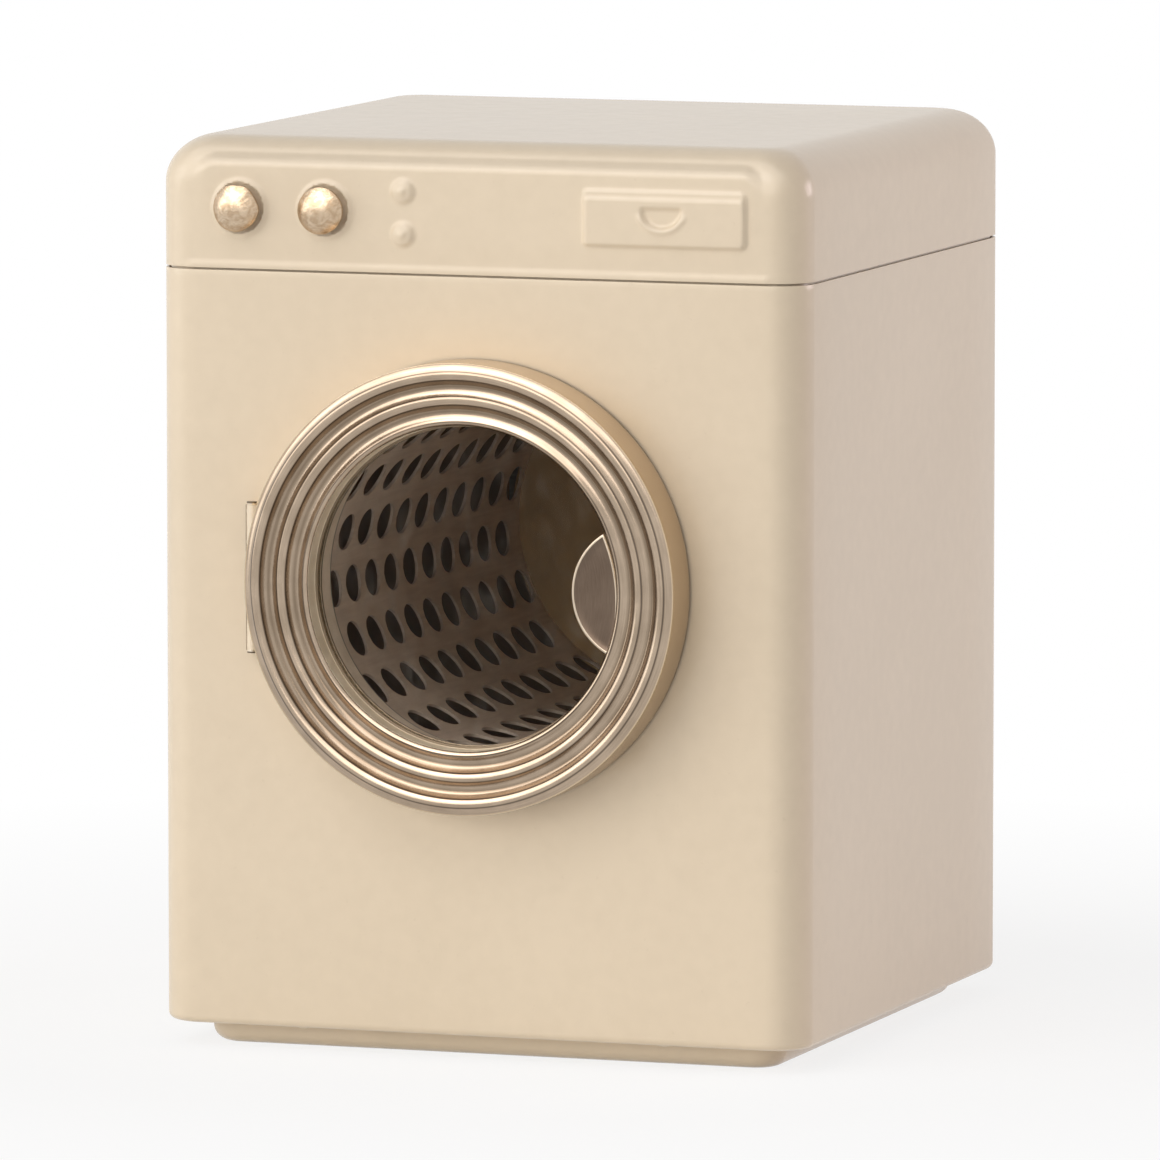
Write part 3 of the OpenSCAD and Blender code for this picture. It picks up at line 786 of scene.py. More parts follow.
def cabinet():
    """Sheet round four sides with an inturned foot and a round hole for the throat."""
    run = BODY_W / 2 - CORNER_R
    square = throat_high.x - 0.6
    square_steps = 24
    grid = [-square + 2 * square * k / square_steps for k in range(square_steps + 1)]
    margin = [-1, -0.88, -0.76]
    front = margin + [x / run for x in grid] + [-m for m in reversed(margin)]
    ridge = SEAM_RIDGE_W / 2 / run
    back = [-1, -0.66, -0.33, -ridge - 0.01, -ridge, 0, ridge, ridge + 0.01, 0.33, 0.66, 1]
    side = spread(-1, 1, 0.25)

    foot_inset = PLINTH_INSET - FOOT_GAP
    levels = [(foot_inset, FOOT_Z, TRAY_CORNER_R + FOOT_GAP), (2.2, FOOT_Z, CORNER_R - 1)]
    edge_z = FOOT_Z + LOWER_EDGE_R
    levels += [(inset, 2 * edge_z - z, CORNER_R - inset * 0.5)
               for inset, z, _ in quarter(edge_z, LOWER_EDGE_R, 90, 0, 6, lambda inset: 0)]
    levels += [(0, z, CORNER_R) for z in (SEAM_RIDGE_FOOT_Z - 0.3, SEAM_RIDGE_FOOT_Z, 12, 22, 31)]
    first_row = len(levels)
    levels += [(0, DOOR_Z + z, CORNER_R) for z in grid]
    levels += [(0, z, CORNER_R) for z in (SEAM_Z - 8, SEAM_Z - SEAM_RIDGE_END, SEAM_Z - 0.9, SEAM_Z)]

    def back_ridge(x, y, z):
        on_back = y > BODY_D / 2 - 0.01 and abs(x) < SEAM_RIDGE_W / 2 + 0.01
        between = SEAM_RIDGE_FOOT_Z - 0.01 < z < SEAM_Z - SEAM_RIDGE_END + 0.01
        return (x, y + SHEET if on_back and between else y, z)

    points, faces, count = wrap_levels(levels, [front, side, back, side], relief=back_ridge)
    first_column = len(margin)
    inner = range(square_steps)

    def corner_of(i, j):
        return (first_row + i) * count + first_column + j

    cut = {corner_of(i, j) for i in inner for j in inner}
    faces = [face for face in faces if face[0] not in cut]
    border = [corner_of(0, j) for j in inner]
    border += [corner_of(i, square_steps) for i in inner]
    border += [corner_of(square_steps, square_steps - j) for j in inner]
    border += [corner_of(square_steps - i, 0) for i in inner]
    start = len(points)
    for index in border:
        angle = math.atan2(points[index][2] - DOOR_Z, points[index][0])
        points.append((THROAT_HOLE_R * math.cos(angle), FRONT_Y, DOOR_Z + THROAT_HOLE_R * math.sin(angle)))
    for k, index in enumerate(border):
        after = (k + 1) % len(border)
        faces.append((index, border[after], start + after, start + k))

    piece = make_piece("cabinet_sheet", points, faces, CREAM)
    thicken(piece, lining=BARE)
    ease_edges(piece, HEM_R, angle=60)
    place(settle(piece), "cabinet", "cream_enamel", "body_shell")


def plinth():
    """Tray under the cabinet: a round lower edge, and a flange that lies on the foot inside."""
    inset = PLINTH_INSET
    plain = spread(-1, 1, 0.25)
    top = FOOT_Z + SHEET
    levels = [(FLANGE_INSET, top, CORNER_R - SHEET), (inset, top, TRAY_CORNER_R),
              (inset, FOOT_Z - FOOT_GAP, TRAY_CORNER_R)]
    for k in range(9):
        angle = math.radians(90 * k / 8)
        edge = TRAY_EDGE_R * (1 - math.cos(angle))
        levels.append((inset + edge, TRAY_EDGE_R * (1 - math.sin(angle)), TRAY_CORNER_R - edge * 0.8))
    points, faces, count = wrap_levels(levels, [plain] * 4)
    cap_level(points, faces, count)
    piece = make_piece("plinth_pan", points, faces, CREAM)
    thicken(piece, lining=BARE)
    place(settle(piece), "cabinet", "cream_enamel", "plinth_tray")


def collar():
    """Inner collar: spot-welded low down, and drawn in above so that the top slides over it."""
    plain = spread(-1, 1, 0.25)
    crimp = collar_low.z + COLLAR_CRIMP_UP
    levels = [(SHEET + drawn, z, CORNER_R - SHEET - drawn) for drawn, z in (
        (0, collar_low.z), (0, crimp), (COLLAR_DRAWN_IN, crimp + 0.5),
        (COLLAR_DRAWN_IN, collar_high.z - 0.6), (COLLAR_LIP_IN, collar_high.z))]
    points, faces, _ = wrap_levels(levels, [plain] * 4)
    piece = make_piece("inner_collar", points, faces, CREAM)
    thicken(piece)
    ease_edges(piece, HEM_R, angle=60)
    place(settle(piece), "cabinet", "cream_enamel", "lid_collar")


# Top

KNOB_CENTRES = [((low.x + high.x) / 2, (low.z + high.z) / 2)
                for low, high in (cad_box("knob_left"), cad_box("knob_right"))]


def on_panel(x, up):
    """1 on the flat front panel, 0 off it, at a place x across and up from the top's lower edge."""
    height = PANEL_TOP - PANEL_LOW
    centre = PANEL_LOW + height / 2
    inside = inside_box(x, up, 0, centre, 2 * PANEL_HALF_W, height, 2.6)
    return ramp(inside, PANEL_BEVEL + 1.1 * smooth_step((centre - up) / 2))


def hem_relief(up):
    return HEM_RISE * (1 - smooth_step((up - 0.5) / 0.6))


def drawer_relief(x, up):
    """Pressed drawer front: two steps at its upper edge, and a half-round finger recess."""
    outer = inside_box(x, up, DRAWER_X, DRAWER_UP, DRAWER_W, DRAWER_H, 0.8)
    step = 1.0
    inner = inside_box(x, up, DRAWER_X, DRAWER_UP - step / 2, DRAWER_W, DRAWER_H - step, 0.8)
    from_left = x - (DRAWER_X - DRAWER_W / 2)
    rise = DRAWER_RISE * ramp(outer, DRAWER_SOFT) + DRAWER_STEP_RISE * ramp(inner, DRAWER_SOFT)
    rise = rise * smooth_step(from_left / 0.9)
    recess_top = DRAWER_UP + 1.35
    recess_x = DRAWER_X - 0.1
    distance = math.hypot(x - recess_x, (up - recess_top) * 1.08)
    below = recess_top - up
    dish = ramp(RECESS_R - distance, 0.6) * ramp(below, 0.5)
    lip = math.exp(-((distance - RECESS_R - 0.55) / 0.35) ** 2) * ramp(below - 1.1, 1.4)
    return rise - RECESS_DEPTH * dish + RECESS_LIP_RISE * lip


def button_relief(x, up):
    rise = 0.0
    for button_up in BUTTON_UPS:
        distance = math.hypot(x - BUTTON_X, up - button_up)
        rise += (BUTTON_RISE * ramp(BUTTON_R - distance, BUTTON_SOFT)
                 + NUB_RISE * ramp(NUB_R - distance, NUB_SOFT))
    return rise


def knob_seat_relief(x, up):
    """Raised collar round each knob, and the shallow pit that the knob sits in."""
    rise = 0.0
    for knob_x, knob_z in KNOB_CENTRES:
        distance = math.hypot(x - knob_x, up - (knob_z - LID_Z))
        rise += (KNOB_COLLAR_RISE * ramp(KNOB_COLLAR_R - distance, KNOB_COLLAR_SOFT)
                 - KNOB_PIT_DEPTH * ramp(KNOB_PIT_R - distance, KNOB_PIT_SOFT))
    return rise


def lid():
    """Top: round edge all round, and the whole front pressed from one sheet."""
    run = BODY_W / 2 - CORNER_R
    front = [x / run for x in spread(-run, run, PRESS_STEP)]
    plain = spread(-1, 1, 0.3)
    edge_z = TOP_Z - TOP_CROWN - TOP_EDGE_R

    def corner(inset):
        return CORNER_R + (TOP_CORNER_R - CORNER_R) * min(1, max(0, inset) / TOP_EDGE_R)

    levels = [(0, z, CORNER_R) for z in spread(LID_Z, edge_z, PRESS_STEP)]
    levels += quarter(edge_z, TOP_EDGE_R, 2.5, 30, 11, corner)
    levels += quarter(edge_z, TOP_EDGE_R, 32, 60, 14, corner)
    levels += quarter(edge_z, TOP_EDGE_R, 65, 90, 5, corner)

    def pressed(x, y, z):
        if y > FRONT_Y + TOP_EDGE_R / 2 - 0.01 or abs(x) > run + 0.01:
            return (x, y, z)
        up = z - LID_Z
        share = on_panel(x, up)
        sheet_y = y + (FRONT_Y - PANEL_RISE - y) * share - hem_relief(up) * (1 - share)
        rise = drawer_relief(x, up) + button_relief(x, up) + knob_seat_relief(x, up)
        return (x, sheet_y - rise, z)

    points, faces, count = wrap_levels(levels, [front, plain, plain, plain], relief=pressed)
    cap_level(points, faces, count, crown=TOP_CROWN, shares=(0.97, 0.9, 0.75, 0.5, 0.25))
    piece = make_piece("lid_sheet", points, faces, CREAM)
    thicken(piece, lining=BARE)
    ease_edges(piece, HEM_R, angle=70)
    place(settle(piece, sharp=math.radians(60)), "lid", "cream_enamel", "lid_shell")


def knob(side, bumps, shift_x):
    """Gilt dome on a stem through the panel. Each bump of its edge is (angle, height, width)."""
    low, high = cad_box(side)
    centre = ((low.x + high.x) / 2 + shift_x, (low.z + high.z) / 2)
    dome_r = (high.x - low.x) / 2 - KNOB_EDGE_GAP
    face_y, tail_y = low.y, high.y
    base_y = face_y + KNOB_DOME_H
    sphere_r = (dome_r ** 2 + KNOB_DOME_H ** 2) / (2 * KNOB_DOME_H)
    dome = []
    steps = 14
    widest = math.asin(min(1, dome_r / sphere_r))
    for k in range(steps + 1):
        angle = widest * k / steps
        dome.append((sphere_r * math.sin(angle), face_y + sphere_r * (1 - math.cos(angle))))
    back_y = base_y + KNOB_RIM_H
    outline = dome + [(dome_r, back_y - 0.1), (dome_r - 0.1, back_y), (KNOB_STEM_R, back_y),
                      (KNOB_STEM_R, tail_y), (0, tail_y)]

    def edge(angle):
        swell = 0.0
        for middle, height, width in bumps:
            away = (angle - math.radians(middle) + math.pi) % (2 * math.pi) - math.pi
            swell += height * math.exp(-(away / math.radians(width)) ** 2)
        return 1 + swell

    piece = lathe(side + "_dome", outline, GILT, centre=centre, steps=96, shape=edge)
    place(piece, side, "gilt", side)


# Door

def door_ring():
    """Skirt, outer shoulder and coved mouldings, all from one rule."""
    rule = GeometryRule(
        "moulded_ring",
        {"Outer Radius": DOOR_R * MM, "Ring Width": RING_W * MM, "Axis Height": DOOR_Z * MM,
         "Front": FRONT_Y * MM, "Edge Height": RING_EDGE_H * MM, "Base Height": DOOR_GAP * MM,
         "Dish": RING_DISH * MM, "Mouldings": MOULDINGS, "Moulding Rise": MOULDING_RISE * MM,
         "Ridge Share": RIDGE_SHARE, "Cove Skew": COVE_SKEW, "Bead Step": BEAD_STEP * MM,
         "Bead Crown": BEAD_CROWN * MM, "Rim Roll": RIM_ROLL * MM,
         "Notch Height": NOTCH_H * MM, "Notch Half Length": NOTCH_HALF * MM,
         "Tongue Height": TONGUE_H * MM, "Tongue Half Length": TONGUE_HALF * MM},
        {"Skirt Steps": 8, "Face Steps": 104, "Steps Around": 288})
    skirt_steps, face_steps = rule.given("Skirt Steps"), rule.given("Face Steps")
    columns = skirt_steps + face_steps
    grid = rule.add("GeometryNodeMeshGrid", {"Size X": 1.0, "Size Y": 1.0, "Vertices X": columns + 1,
                                             "Vertices Y": rule.given("Steps Around") + 1})
    place_x, place_y, _ = rule.parts(rule.add("GeometryNodeInputPosition").outputs[0])
    column = (place_x + 0.5) * columns
    angle = (place_y + 0.5) * (2 * math.pi)
    up_skirt = (column / skirt_steps).join("MINIMUM", 1.0)
    across = ((column - skirt_steps) / face_steps).join("MAXIMUM", 0.0)
    radius = rule.given("Outer Radius") - rule.given("Ring Width") * across

    mouldings = rule.given("Mouldings")
    skew = rule.given("Cove Skew")
    half_bead = rule.given("Ridge Share") / 2
    share = (across * mouldings + skew).join("FRACT")
    from_bead = (share - skew - 0.5).join("ABSOLUTE")
    up_long_side = share / (0.5 + skew - half_bead)
    up_short_side = (1 - share) / (0.5 - skew - half_bead)
    up_cove = up_long_side.join("MINIMUM", up_short_side).join("MINIMUM", 1.0)
    on_bead = ((half_bead - from_bead) / 0.025 + 0.5).join("MINIMUM", 1.0).join("MAXIMUM", 0.0)
    off_bead = (from_bead / half_bead).join("MINIMUM", 1.0)
    roll = ((across - 1) * mouldings * 3.6 + 1).join("MAXIMUM", 0.0)
    face_h = (rule.given("Edge Height") - rule.given("Dish") * across
              + (rule.given("Moulding Rise") - rule.given("Bead Step")) * up_cove * up_cove
              + on_bead * (rule.given("Bead Step") - rule.given("Bead Crown") * off_bead * off_bead)
              - rule.given("Rim Roll") * roll * roll)

    from_middle = (radius * angle.join("SINE")).join("ABSOLUTE")
    left = (angle.join("COSINE") * -1).join("GREATER_THAN", 0.0)

    def notch(half_length):
        slope = (rule.given(half_length) - from_middle) / (NOTCH_SOFT * MM) + 0.5
        return slope.join("MINIMUM", 1.0).join("MAXIMUM", 0.0) * left

    base = rule.given("Base Height")
    base = base + (rule.given("Notch Height") - base) * notch("Notch Half Length")
    base = base.join("MAXIMUM", rule.given("Tongue Height") * notch("Tongue Half Length"))
    height = base + (face_h - base) * up_skirt
    spot = rule.vector(radius * angle.join("COSINE"), rule.given("Front") - height,
                       rule.given("Axis Height") + radius * angle.join("SINE"))
    bent = rule.add("GeometryNodeSetPosition", {"Geometry": grid.outputs[0], "Position": spot})
    closed = rule.add("GeometryNodeMergeByDistance", {"Geometry": bent.outputs[0], "Distance": 1e-6})
    rule.close(closed.outputs[0])

    piece = rule.run(make_piece("moulded_ring", [(0, 0, 0)], [], RING_GOLD), RING_GOLD)
    thicken(piece)
    ease_edges(piece, 0.14, angle=60)
    place(settle(piece, sharp=math.radians(75)), "door", "pale_gold", "door_ring")


def turned_profile(name, corners, finish, body, slot, node, ease=0.1):
    """A turned piece: corners are (radius, height outwards from the cabinet front)."""
    outline = soften([(radius, FRONT_Y - height) for radius, height in corners], ease)
    place(lathe(name, outline, finish), body, slot, node)


def door_turnings():
    seat_r = -retainer_low.x - SHEET
    seat_back_h = FRONT_Y - window_low.y
    plate_h = FRONT_Y - plate_high.y
    sleeve_r = sleeve_high.x
    turned_profile("door_lining", [
        (RIM_R, LINING_H), (RIM_R, seat_back_h + SHEET), (RIM_R - SHEET, seat_back_h + SHEET),
        (RIM_R - SHEET, seat_back_h), (RIM_R, seat_back_h), (RIM_R, plate_h), (sleeve_r, plate_h),
        (sleeve_r, LINING_H)], LINING, "door", "pale_gold", "door_sleeve", 0.15)
    turned_profile("door_back", [
        (sleeve_r, plate_h), (sleeve_r, plate_h + SHEET), (DOOR_R - SHEET, plate_h + SHEET),
        (DOOR_R - SHEET, plate_h)], GOLD, "door", "pale_gold", "door_back_plate")
    window_h = FRONT_Y - window_high.y
    turned_profile("window_pane", [
        (0, window_h), (window_high.x, window_h), (window_high.x, FRONT_Y - window_low.y),
        (0, FRONT_Y - window_low.y)], CLEAR, "door", "clear_window", "door_window", 0.02)
    turned_profile("window_snap_ring", [
        (seat_r, plate_h), (retainer_high.x, plate_h), (retainer_high.x, window_h),
        (seat_r, window_h)], SNAP, "door", "bare_steel", "window_retainer", 0.08)


def arc_points(radius, centre_x, half_height, steps, side):
    """Points on a circle's right (side 1) or left (side -1) arc, from low to high."""
    reach = math.asin(min(1, half_height / radius))
    return [(centre_x + side * radius * math.cos(angle), radius * math.sin(angle))
            for angle in spread(-reach, reach, 2 * reach / steps)]


def pull_ring(inset, steps=40):
    """Outline of the lens-shaped pull at an inset, once round."""
    rim, arc = RIM_R - inset, PULL_R - inset
    centre_x = RIM_R - PULL_W + PULL_R
    meet_x = (centre_x ** 2 + rim ** 2 - arc ** 2) / (2 * centre_x)
    tip = math.sqrt(rim ** 2 - meet_x ** 2)
    right = arc_points(rim, 0, tip, steps, 1)
    left = arc_points(arc, centre_x, tip, steps, -1)
    return right[:-1] + left[:0:-1]


def door_pull():
    """Finger pull: a lens of brass with a hemmed edge, across one side of the porthole; its face is
    painted dark as painted shade and its hem light as a painted highlight.
    """
    back_h = FRONT_Y - pull_high.y
    front_h = FRONT_Y - pull_low.y
    face_h = back_h + PULL_T
    middle_dish = 0.06
    sections = [(0.0, back_h + 0.1), (0.06, back_h), (0.9, back_h)]
    edge = [(0.0, front_h - 0.16), (0.05, front_h - 0.06), (0.14, front_h), (0.3, front_h),
            (PULL_HEM_W, front_h - 0.06), (PULL_HEM_W + 0.12, face_h), (1.3, face_h - middle_dish / 2),
            (2.2, face_h - middle_dish)]
    rings = [(pull_ring(inset), height) for inset, height in reversed(sections)]
    rings += [(pull_ring(inset), height) for inset, height in edge]
    points, faces = [], []
    count = len(rings[0][0])
    cos_t, sin_t = math.cos(PULL_TILT), math.sin(PULL_TILT)
    pivot = RIM_R - PULL_W / 2
    for ring, height in rings:
        points += [(pivot + PULL_SHIFT[0] + (x - pivot) * cos_t - z * sin_t, FRONT_Y - height,
                    DOOR_Z + PULL_SHIFT[1] + (x - pivot) * sin_t + z * cos_t) for x, z in ring]
    for row in range(len(rings) - 1):
        faces += band(row * count, (row + 1) * count, count)
    faces += [tuple(range(count)), tuple(range(len(points) - count, len(points)))]
    piece = make_piece("finger_pull", points, faces, PULL_SHADED_GOLD)
    # The hem's faces take the painted highlight.
    piece.data.materials.append(HEM_HIGHLIGHT_GOLD)
    hem_y = (FRONT_Y - face_h - 0.02) * MM
    for face in piece.data.polygons:
        face.material_index = int(face.center.y < hem_y)
    place(settle(piece), "door", "brass", "door_pull")


# Painted shade: the pull's gold is painted much darker than the ring's.
PULL_SHADED_GOLD = lacquered_gold("pull_gold", srgb(110, 94, 80), srgb(98, 82, 69))
# Painted highlight: the pull's rolled hem is painted lighter.
HEM_HIGHLIGHT_GOLD = lacquered_gold("worn_hem", srgb(212, 196, 174), srgb(190, 174, 152))


# Drum

def drum_tile():
    """One flat tile of the drum's wall with a round hole, to be repeated."""
    half_w, half_l = math.pi * (DRUM_OUT_R - SHEET) / HOLE_ROWS, HOLE_PITCH / 2
    across = [-half_w + 2 * half_w * k / TILE_SIDE for k in range(TILE_SIDE + 1)]
    along = [-half_l + half_l * k / TILE_SIDE for k in range(2 * TILE_SIDE + 1)]
    border = [(x, -half_l) for x in across[:-1]] + [(half_w, y) for y in along[:-1]]
    border += [(-x, half_l) for x in across[:-1]] + [(-half_w, -y) for y in along[:-1]]
    points = [(x, y, 0) for x, y in border]
    for x, y in border:
        angle = math.atan2(y / half_l, x / half_w)
        points.append((HOLE_ROUND / 2 * math.cos(angle), HOLE_LONG / 2 * math.sin(angle), 0))
    count = len(border)
    return make_piece("perforated_drum", points, band(0, count, count), DRUM)


def drum_wall():
    """Staggered rows of holed tiles and plain half tiles, wrapped round the axis."""
    rule = GeometryRule(
        "perforated_wall",
        {"Radius": (DRUM_OUT_R - SHEET) * MM, "Pitch": HOLE_PITCH * MM, "Mouth": MOUTH_Y * MM,
         "End": DRUM_END_Y * MM, "First Hole": (MOUTH_Y + HOLE_D / 2 + HOLE_MARGIN) * MM,
         "Axis Height": DOOR_Z * MM, "Turn": HOLE_TURN},
        {"Rows": HOLE_ROWS, "Holes In Row": HOLES_IN_ROW, "Tile Side": TILE_SIDE})
    rows, holes, pitch = rule.given("Rows"), rule.given("Holes In Row"), rule.given("Pitch")
    tile_w = rule.given("Radius") * (2 * math.pi) / rows

    def points_grid(columns, along_of):
        """Points for the tiles; along_of says how far along a tile lies."""
        grid = rule.add("GeometryNodeMeshGrid", {
            "Size X": rows - 1, "Size Y": columns - 1, "Vertices X": rows, "Vertices Y": columns})
        x, y, _ = rule.parts(rule.add("GeometryNodeInputPosition").outputs[0])
        row = (x + (rows - 1) / 2).join("ROUND")
        place_in_row = (y + (columns - 1) / 2).join("ROUND")
        odd = row.join("MODULO", 2.0).join("ROUND")
        spot = rule.vector(row * tile_w, along_of(place_in_row, odd), 0.0)
        return rule.add("GeometryNodeSetPosition",
                        {"Geometry": grid.outputs[0], "Position": spot}).outputs[0]

    first = rule.given("First Hole")
    holed = rule.add("GeometryNodeInstanceOnPoints", {
        "Points": points_grid(holes, lambda k, odd: first + (k + odd * 0.5) * pitch),
        "Instance": rule.entry.outputs["Geometry"]})
    side = rule.given("Tile Side") + 1
    half_tile = rule.add("GeometryNodeMeshGrid", {
        "Size X": tile_w, "Size Y": pitch * 0.5, "Vertices X": side, "Vertices Y": side})
    one = Term(rule, 1.0) * 1.0
    plain = rule.add("GeometryNodeInstanceOnPoints", {
        "Points": points_grid(one, lambda k, odd: first + ((1 - odd) * holes - 0.25) * pitch),
        "Instance": half_tile.outputs[0]})
    joined = rule.add("GeometryNodeJoinGeometry")
    for instances in (holed, plain):
        rule.feed(joined.inputs[0], instances.outputs[0])
    flat = rule.add("GeometryNodeRealizeInstances", {0: joined.outputs[0]})
    x, y, _ = rule.parts(rule.add("GeometryNodeInputPosition").outputs[0])
    angle = x / rule.given("Radius") + rule.given("Turn")
    along = y.join("MAXIMUM", rule.given("Mouth")).join("MINIMUM", rule.given("End"))
    spot = rule.vector(rule.given("Radius") * angle.join("COSINE"), along,
                       rule.given("Axis Height") + rule.given("Radius") * angle.join("SINE"))
    wrapped = rule.add("GeometryNodeSetPosition", {"Geometry": flat.outputs[0], "Position": spot})
    merged = rule.add("GeometryNodeMergeByDistance", {"Geometry": wrapped.outputs[0], "Distance": 2e-5})
    rule.close(merged.outputs[0])

    piece = rule.run(drum_tile(), DRUM)
    thicken(piece, outward=True)
    place(settle(piece), "drum", "drum_metal", "drum_shell")


def drum_ends():
    """Rolled bead at the mouth, and the cap that closes the back."""
    bead_r = 0.5
    bead = [(DRUM_OUT_R + bead_r * math.cos(a), MOUTH_Y + bead_r + bead_r * math.sin(a))
            for a in spread(-math.pi / 2, math.pi / 2, math.pi / 8)]
    bead += [(DRUM_OUT_R - 0.05, MOUTH_Y + 2 * bead_r), (DRUM_OUT_R - 0.05, MOUTH_Y)]
    place(lathe("drum_rolled_mouth", bead, DRUM), "drum", "drum_metal", "drum_mouth_bead")
    back, rim_r = cap_high.y, cap_high.x
    axle_r = 1.2
    face = back - SHEET
    outline = [(axle_r, back), (axle_r, face), (rim_r - SHEET, face),
               (rim_r - SHEET, cap_low.y), (rim_r, cap_low.y), (rim_r, back)]
    place(lathe("drum_end_cap", soften(outline, 0.25), CAP_METAL), "drum", "drum_metal", "drum_back")


CAP_METAL = dull_brown()


def throat():
    """Lip that leads laundry from the porthole into the drum."""
    out_r, flange_r = THROAT_OUT_R, throat_high.x
    in_r, end_h = out_r - SHEET, FRONT_Y - throat_high.y
    turned_profile("throat_lip", [
        (in_r, SHEET), (flange_r, SHEET), (flange_r, 0), (out_r, 0), (out_r, end_h),
        (in_r, end_h)], THROAT, "cabinet", "pale_gold", "throat_ring", 0.25)


# Rivets

def rivet_boxes(node):
    """Lowest and highest corner of each separate rivet of a CAD node."""
    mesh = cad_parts[node].data
    work = bmesh.new()
    work.from_mesh(mesh)
    bmesh.ops.remove_doubles(work, verts=work.verts, dist=1e-6)
    left, boxes = set(work.verts), []
    while left:
        found = [left.pop()]
        group = []
        while found:
            vert = found.pop()
            group.append(vert.co.copy())
            for edge in vert.link_edges:
                other = edge.other_vert(vert)
                if other in left:
                    left.remove(other)
                    found.append(other)
        low = Vector(min(p[k] for p in group) for k in range(3))
        high = Vector(max(p[k] for p in group) for k in range(3))
        boxes.append((low, high))
    work.free()
    return boxes


def rivets(name, node, axis, body, slot, finish):
    """Round-headed rivets, one on each point, with the head towards axis."""
    boxes = rivet_boxes(node)
    index = max(range(3), key=lambda k: abs(axis[k]))
    low, high = boxes[0]
    length = (high[index] - low[index]) / MM
    head_side = axis[index] > 0
    points = []
    for low, high in boxes:
        point = (low + high) / 2
        point[index] = high[index] if head_side else low[index]
        points.append(point / MM)
    rule = GeometryRule(name + "_rule", {
        "Head Radius": 1.08 * MM, "Head Height": 0.38 * MM, "Tail Radius": 0.9 * MM,
        "Tail Height": 0.18 * MM, "Shank Radius": 0.6 * MM, "Length": length * MM}, {"Segments": 24})
    segments = rule.given("Segments")

    def dome(radius, height, at):
        ball = rule.add("GeometryNodeMeshUVSphere", {"Segments": segments, "Rings": 10, "Radius": 1.0})
        moved = rule.add("GeometryNodeTransform", {
            "Geometry": ball.outputs[0], "Translation": rule.vector(0.0, 0.0, at),
            "Scale": rule.vector(radius, radius, height)})
        return moved.outputs[0]

    span, head_h = rule.given("Length"), rule.given("Head Height")
    tail_h = rule.given("Tail Height")
    shank = rule.add("GeometryNodeMeshCylinder", {
        "Vertices": segments, "Radius": rule.given("Shank Radius"), "Depth": span - head_h - tail_h})
    shank = rule.add("GeometryNodeTransform", {
        "Geometry": shank.outputs[0], "Translation": rule.vector(0.0, 0.0, span * -0.5)})
    joined = rule.add("GeometryNodeJoinGeometry")
    for part in (dome(rule.given("Head Radius"), head_h, head_h * -1.0), shank.outputs[0],
                 dome(rule.given("Tail Radius"), tail_h, span * -1.0 + tail_h)):
        rule.feed(joined.inputs[0], part)
    turn = rule.add("FunctionNodeAlignRotationToVector", {"Vector": axis}, axis="Z")
    placed = rule.add("GeometryNodeInstanceOnPoints", {
        "Points": rule.entry.outputs["Geometry"], "Instance": joined.outputs[0],
        "Rotation": turn.outputs[0]})
    rule.close(placed.outputs[0])
    piece = rule.run(make_piece(name, points, [], finish), finish)
    place(settle(piece), body, slot, node)


def all_rivets():
    rivets("foot_rivets", "plinth_rivets", (0, 0, -1), "cabinet", "cream_enamel", CREAM)
    rivets("bearing_rivets", "bracket_rivets", (0, 1, 0), "cabinet", "bare_steel", STEEL)
    rivets("cabinet_hinge_rivets", "cabinet_leaf_rivets", (0, -1, 0), "cabinet", "cream_enamel", CREAM)
    rivets("door_hinge_rivets", "door_leaf_rivets", (0, -1, 0), "door", "bare_steel", STEEL)


def small_parts():
    """Plain turned and cut pieces, kept at the CAD shape with eased edges."""
    for node, finish, body, slot in (
            ("hinge_leaf_cabinet", HINGE, "cabinet", "cream_enamel"),
            ("hinge_leaf_door", HINGE, "door", "cream_enamel"),
            ("hinge_pin", PIN, "cabinet", "bare_steel"),
            ("catch_magnet", FERRITE, "cabinet", "magnet"),
            ("bearing_bracket", STEEL, "cabinet", "bare_steel"),
            ("axle_bush", BRASS, "cabinet", "brass"),
            ("drum_hub", STEEL, "drum", "bare_steel"),
            ("drum_axle", BRASS, "drum", "brass"),
            ("axle_clip", STEEL, "drum", "bare_steel"),
            ("knob_left_clip", STEEL, "knob_left", "bare_steel"),
            ("knob_right_clip", STEEL, "knob_right", "bare_steel")):
        place(dress_node(node, finish), body, slot, node)


# Room

FLOOR_HALF = 4000
SKY_DIM = 0.36
MIDDLE = (0, 0, 60)
CAMERA_TURN = math.radians(19.19)
CAMERA_RISE = math.radians(6.26)
CAMERA_AWAY = 1667.5
CAMERA_LENS = 389.4
CAMERA_SHIFT = (-0.00565, -0.00952)


def floor():
    half = FLOOR_HALF
    piece = make_piece("floor", [(-half, -half, 0), (half, -half, 0), (half, half, 0), (-half, half, 0)],
                       [(0, 1, 2, 3)], floor_finish())


def floor_finish():
    """White floor that keeps the shadow near the object and runs out into the white room."""
    finish = Finish("pale_floor", Roughness=0.8, Specular_IOR_Level=0.1)
    finish.colour(finish.blend(finish.noise(120, 2), srgb(247, 247, 246), srgb(250, 250, 249)))
    across, along, _ = finish.parts(finish.coordinates)
    distance = (across * across + along * along).join("SQRT")
    share = finish.limit(distance, 0.09, 0.24, 0.8, 1.0) * direct_rays(finish)
    white = finish.add("ShaderNodeEmission", {"Color": (1, 1, 1, 1), "Strength": 1.0})
    mixed = finish.add("ShaderNodeMixShader", {0: share, 1: finish.shader.outputs[0], 2: white.outputs[0]})
    finish.feed(finish.output.inputs[0], mixed.outputs[0])
    return finish.material


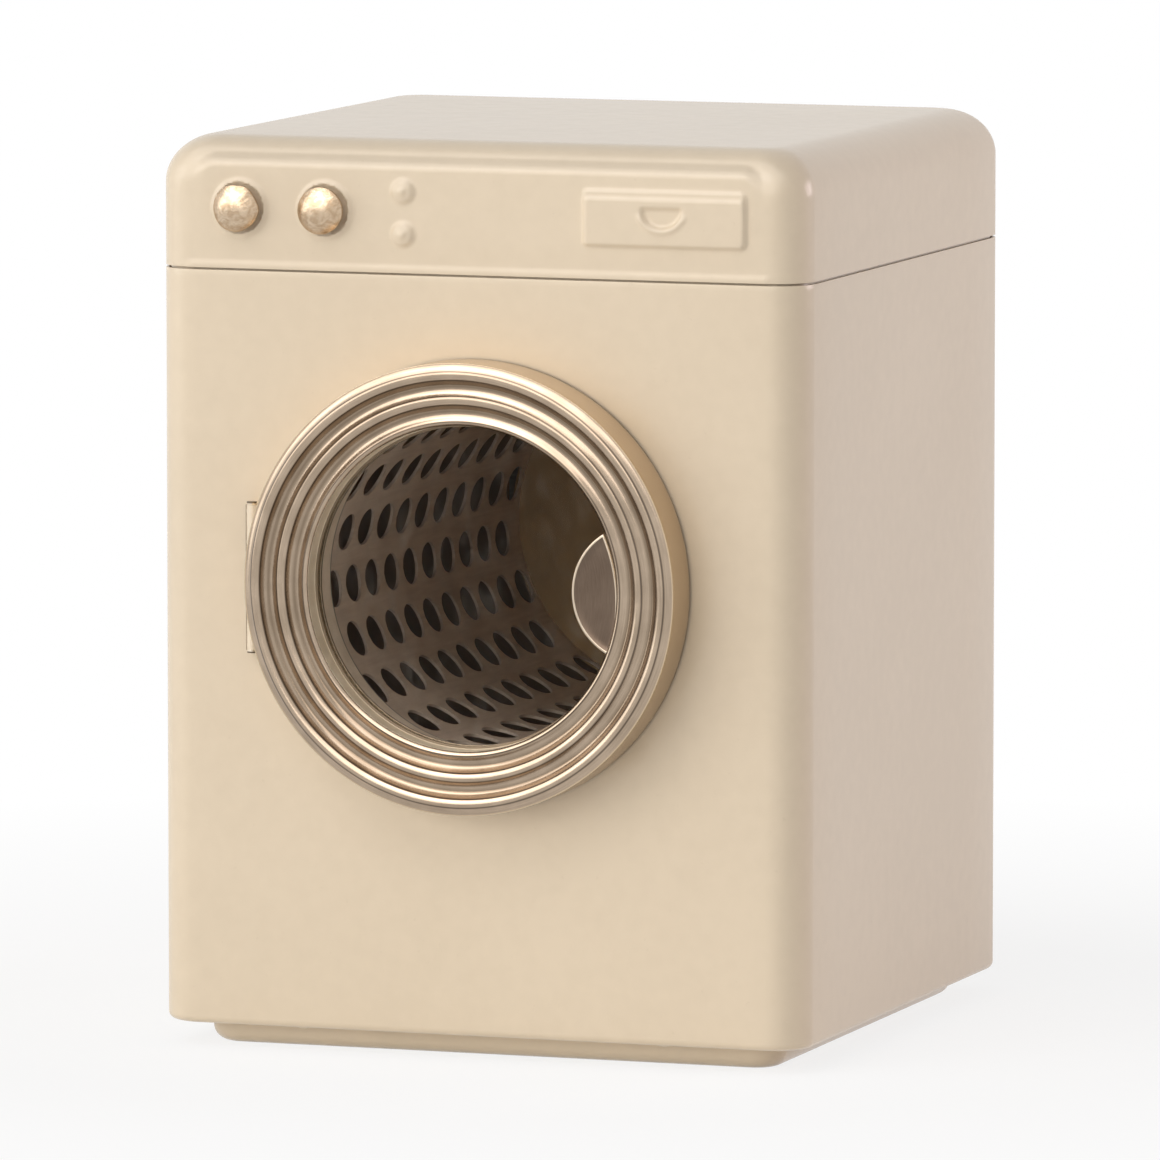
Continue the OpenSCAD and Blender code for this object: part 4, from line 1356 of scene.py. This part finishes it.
def soft_light(name, spot, size, watts, colour):
    """A rectangular lamp at a spot, turned to the middle of the object."""
    lamp = bpy.data.lights.new(name, "AREA")
    lamp.shape = "RECTANGLE"
    lamp.size, lamp.size_y = size[0] * MM, size[1] * MM
    lamp.energy = watts
    lamp.color = colour
    holder = bpy.data.objects.new(name, lamp)
    bpy.context.scene.collection.objects.link(holder)
    holder.location = Vector(spot) * MM
    holder.rotation_euler = (Vector(MIDDLE) - Vector(spot)).to_track_quat("-Z", "Y").to_euler()
    return holder


def sky():
    """White to the camera and in reflections, and a plain dim dome for everything else."""
    world = bpy.data.worlds.new("studio")
    world.use_nodes = True
    bpy.context.scene.world = world
    tree = Tree(world.node_tree)
    tree.made.nodes.clear()
    strength = direct_rays(tree) * (1.0 - SKY_DIM) + SKY_DIM
    glow = tree.add("ShaderNodeBackground", {"Color": (1, 1, 1, 1), "Strength": strength})
    tree.add("ShaderNodeOutputWorld", {0: glow.outputs[0]})


def studio():
    sky()
    soft_light("key", (-440, -1150, 1500), (1100, 850), 6.9, (1.0, 0.96, 0.945))
    overhead = soft_light("overhead", (-368, -960, 1286), (2600, 2400), 42.0, (1.0, 0.955, 0.93))
    overhead.visible_diffuse = False
    front_fill = soft_light("front_fill", (-1200, -2450, 330), (3200, 2200), 54.0, (1.0, 0.99, 0.965))
    front_fill.visible_glossy = False
    soft_light("left_panel", (-1330, -570, 420), (800, 1000), 3.8, (1.0, 1.0, 1.0))
    soft_light("side_fill", (1500, 1000, 450), (900, 700), 9.4, (1.0, 0.83, 0.87))


def camera():
    """The photograph's angle: 19 degrees to the right of the front and 6 degrees above it."""
    lens = bpy.data.cameras.new("photo_angle")
    lens.lens = CAMERA_LENS
    lens.sensor_width = 36
    lens.shift_x, lens.shift_y = CAMERA_SHIFT
    lens.clip_end = 20
    holder = bpy.data.objects.new("photo_angle", lens)
    bpy.context.scene.collection.objects.link(holder)
    flat = math.cos(CAMERA_RISE)
    back = Vector((math.sin(CAMERA_TURN) * flat, -math.cos(CAMERA_TURN) * flat, math.sin(CAMERA_RISE)))
    holder.location = (Vector(MIDDLE) + back * CAMERA_AWAY) * MM
    holder.rotation_euler = (-back).to_track_quat("-Z", "Y").to_euler()
    bpy.context.scene.camera = holder


camera()
cabinet()
plinth()
collar()
lid()
knob("knob_left", LEFT_BUMPS, 0.0)
knob("knob_right", RIGHT_BUMPS, -0.1)
throat()
door_ring()
door_turnings()
door_pull()
drum_wall()
drum_ends()
all_rivets()
small_parts()
floor()
studio()
bpy.context.scene.view_settings.view_transform = "Standard"
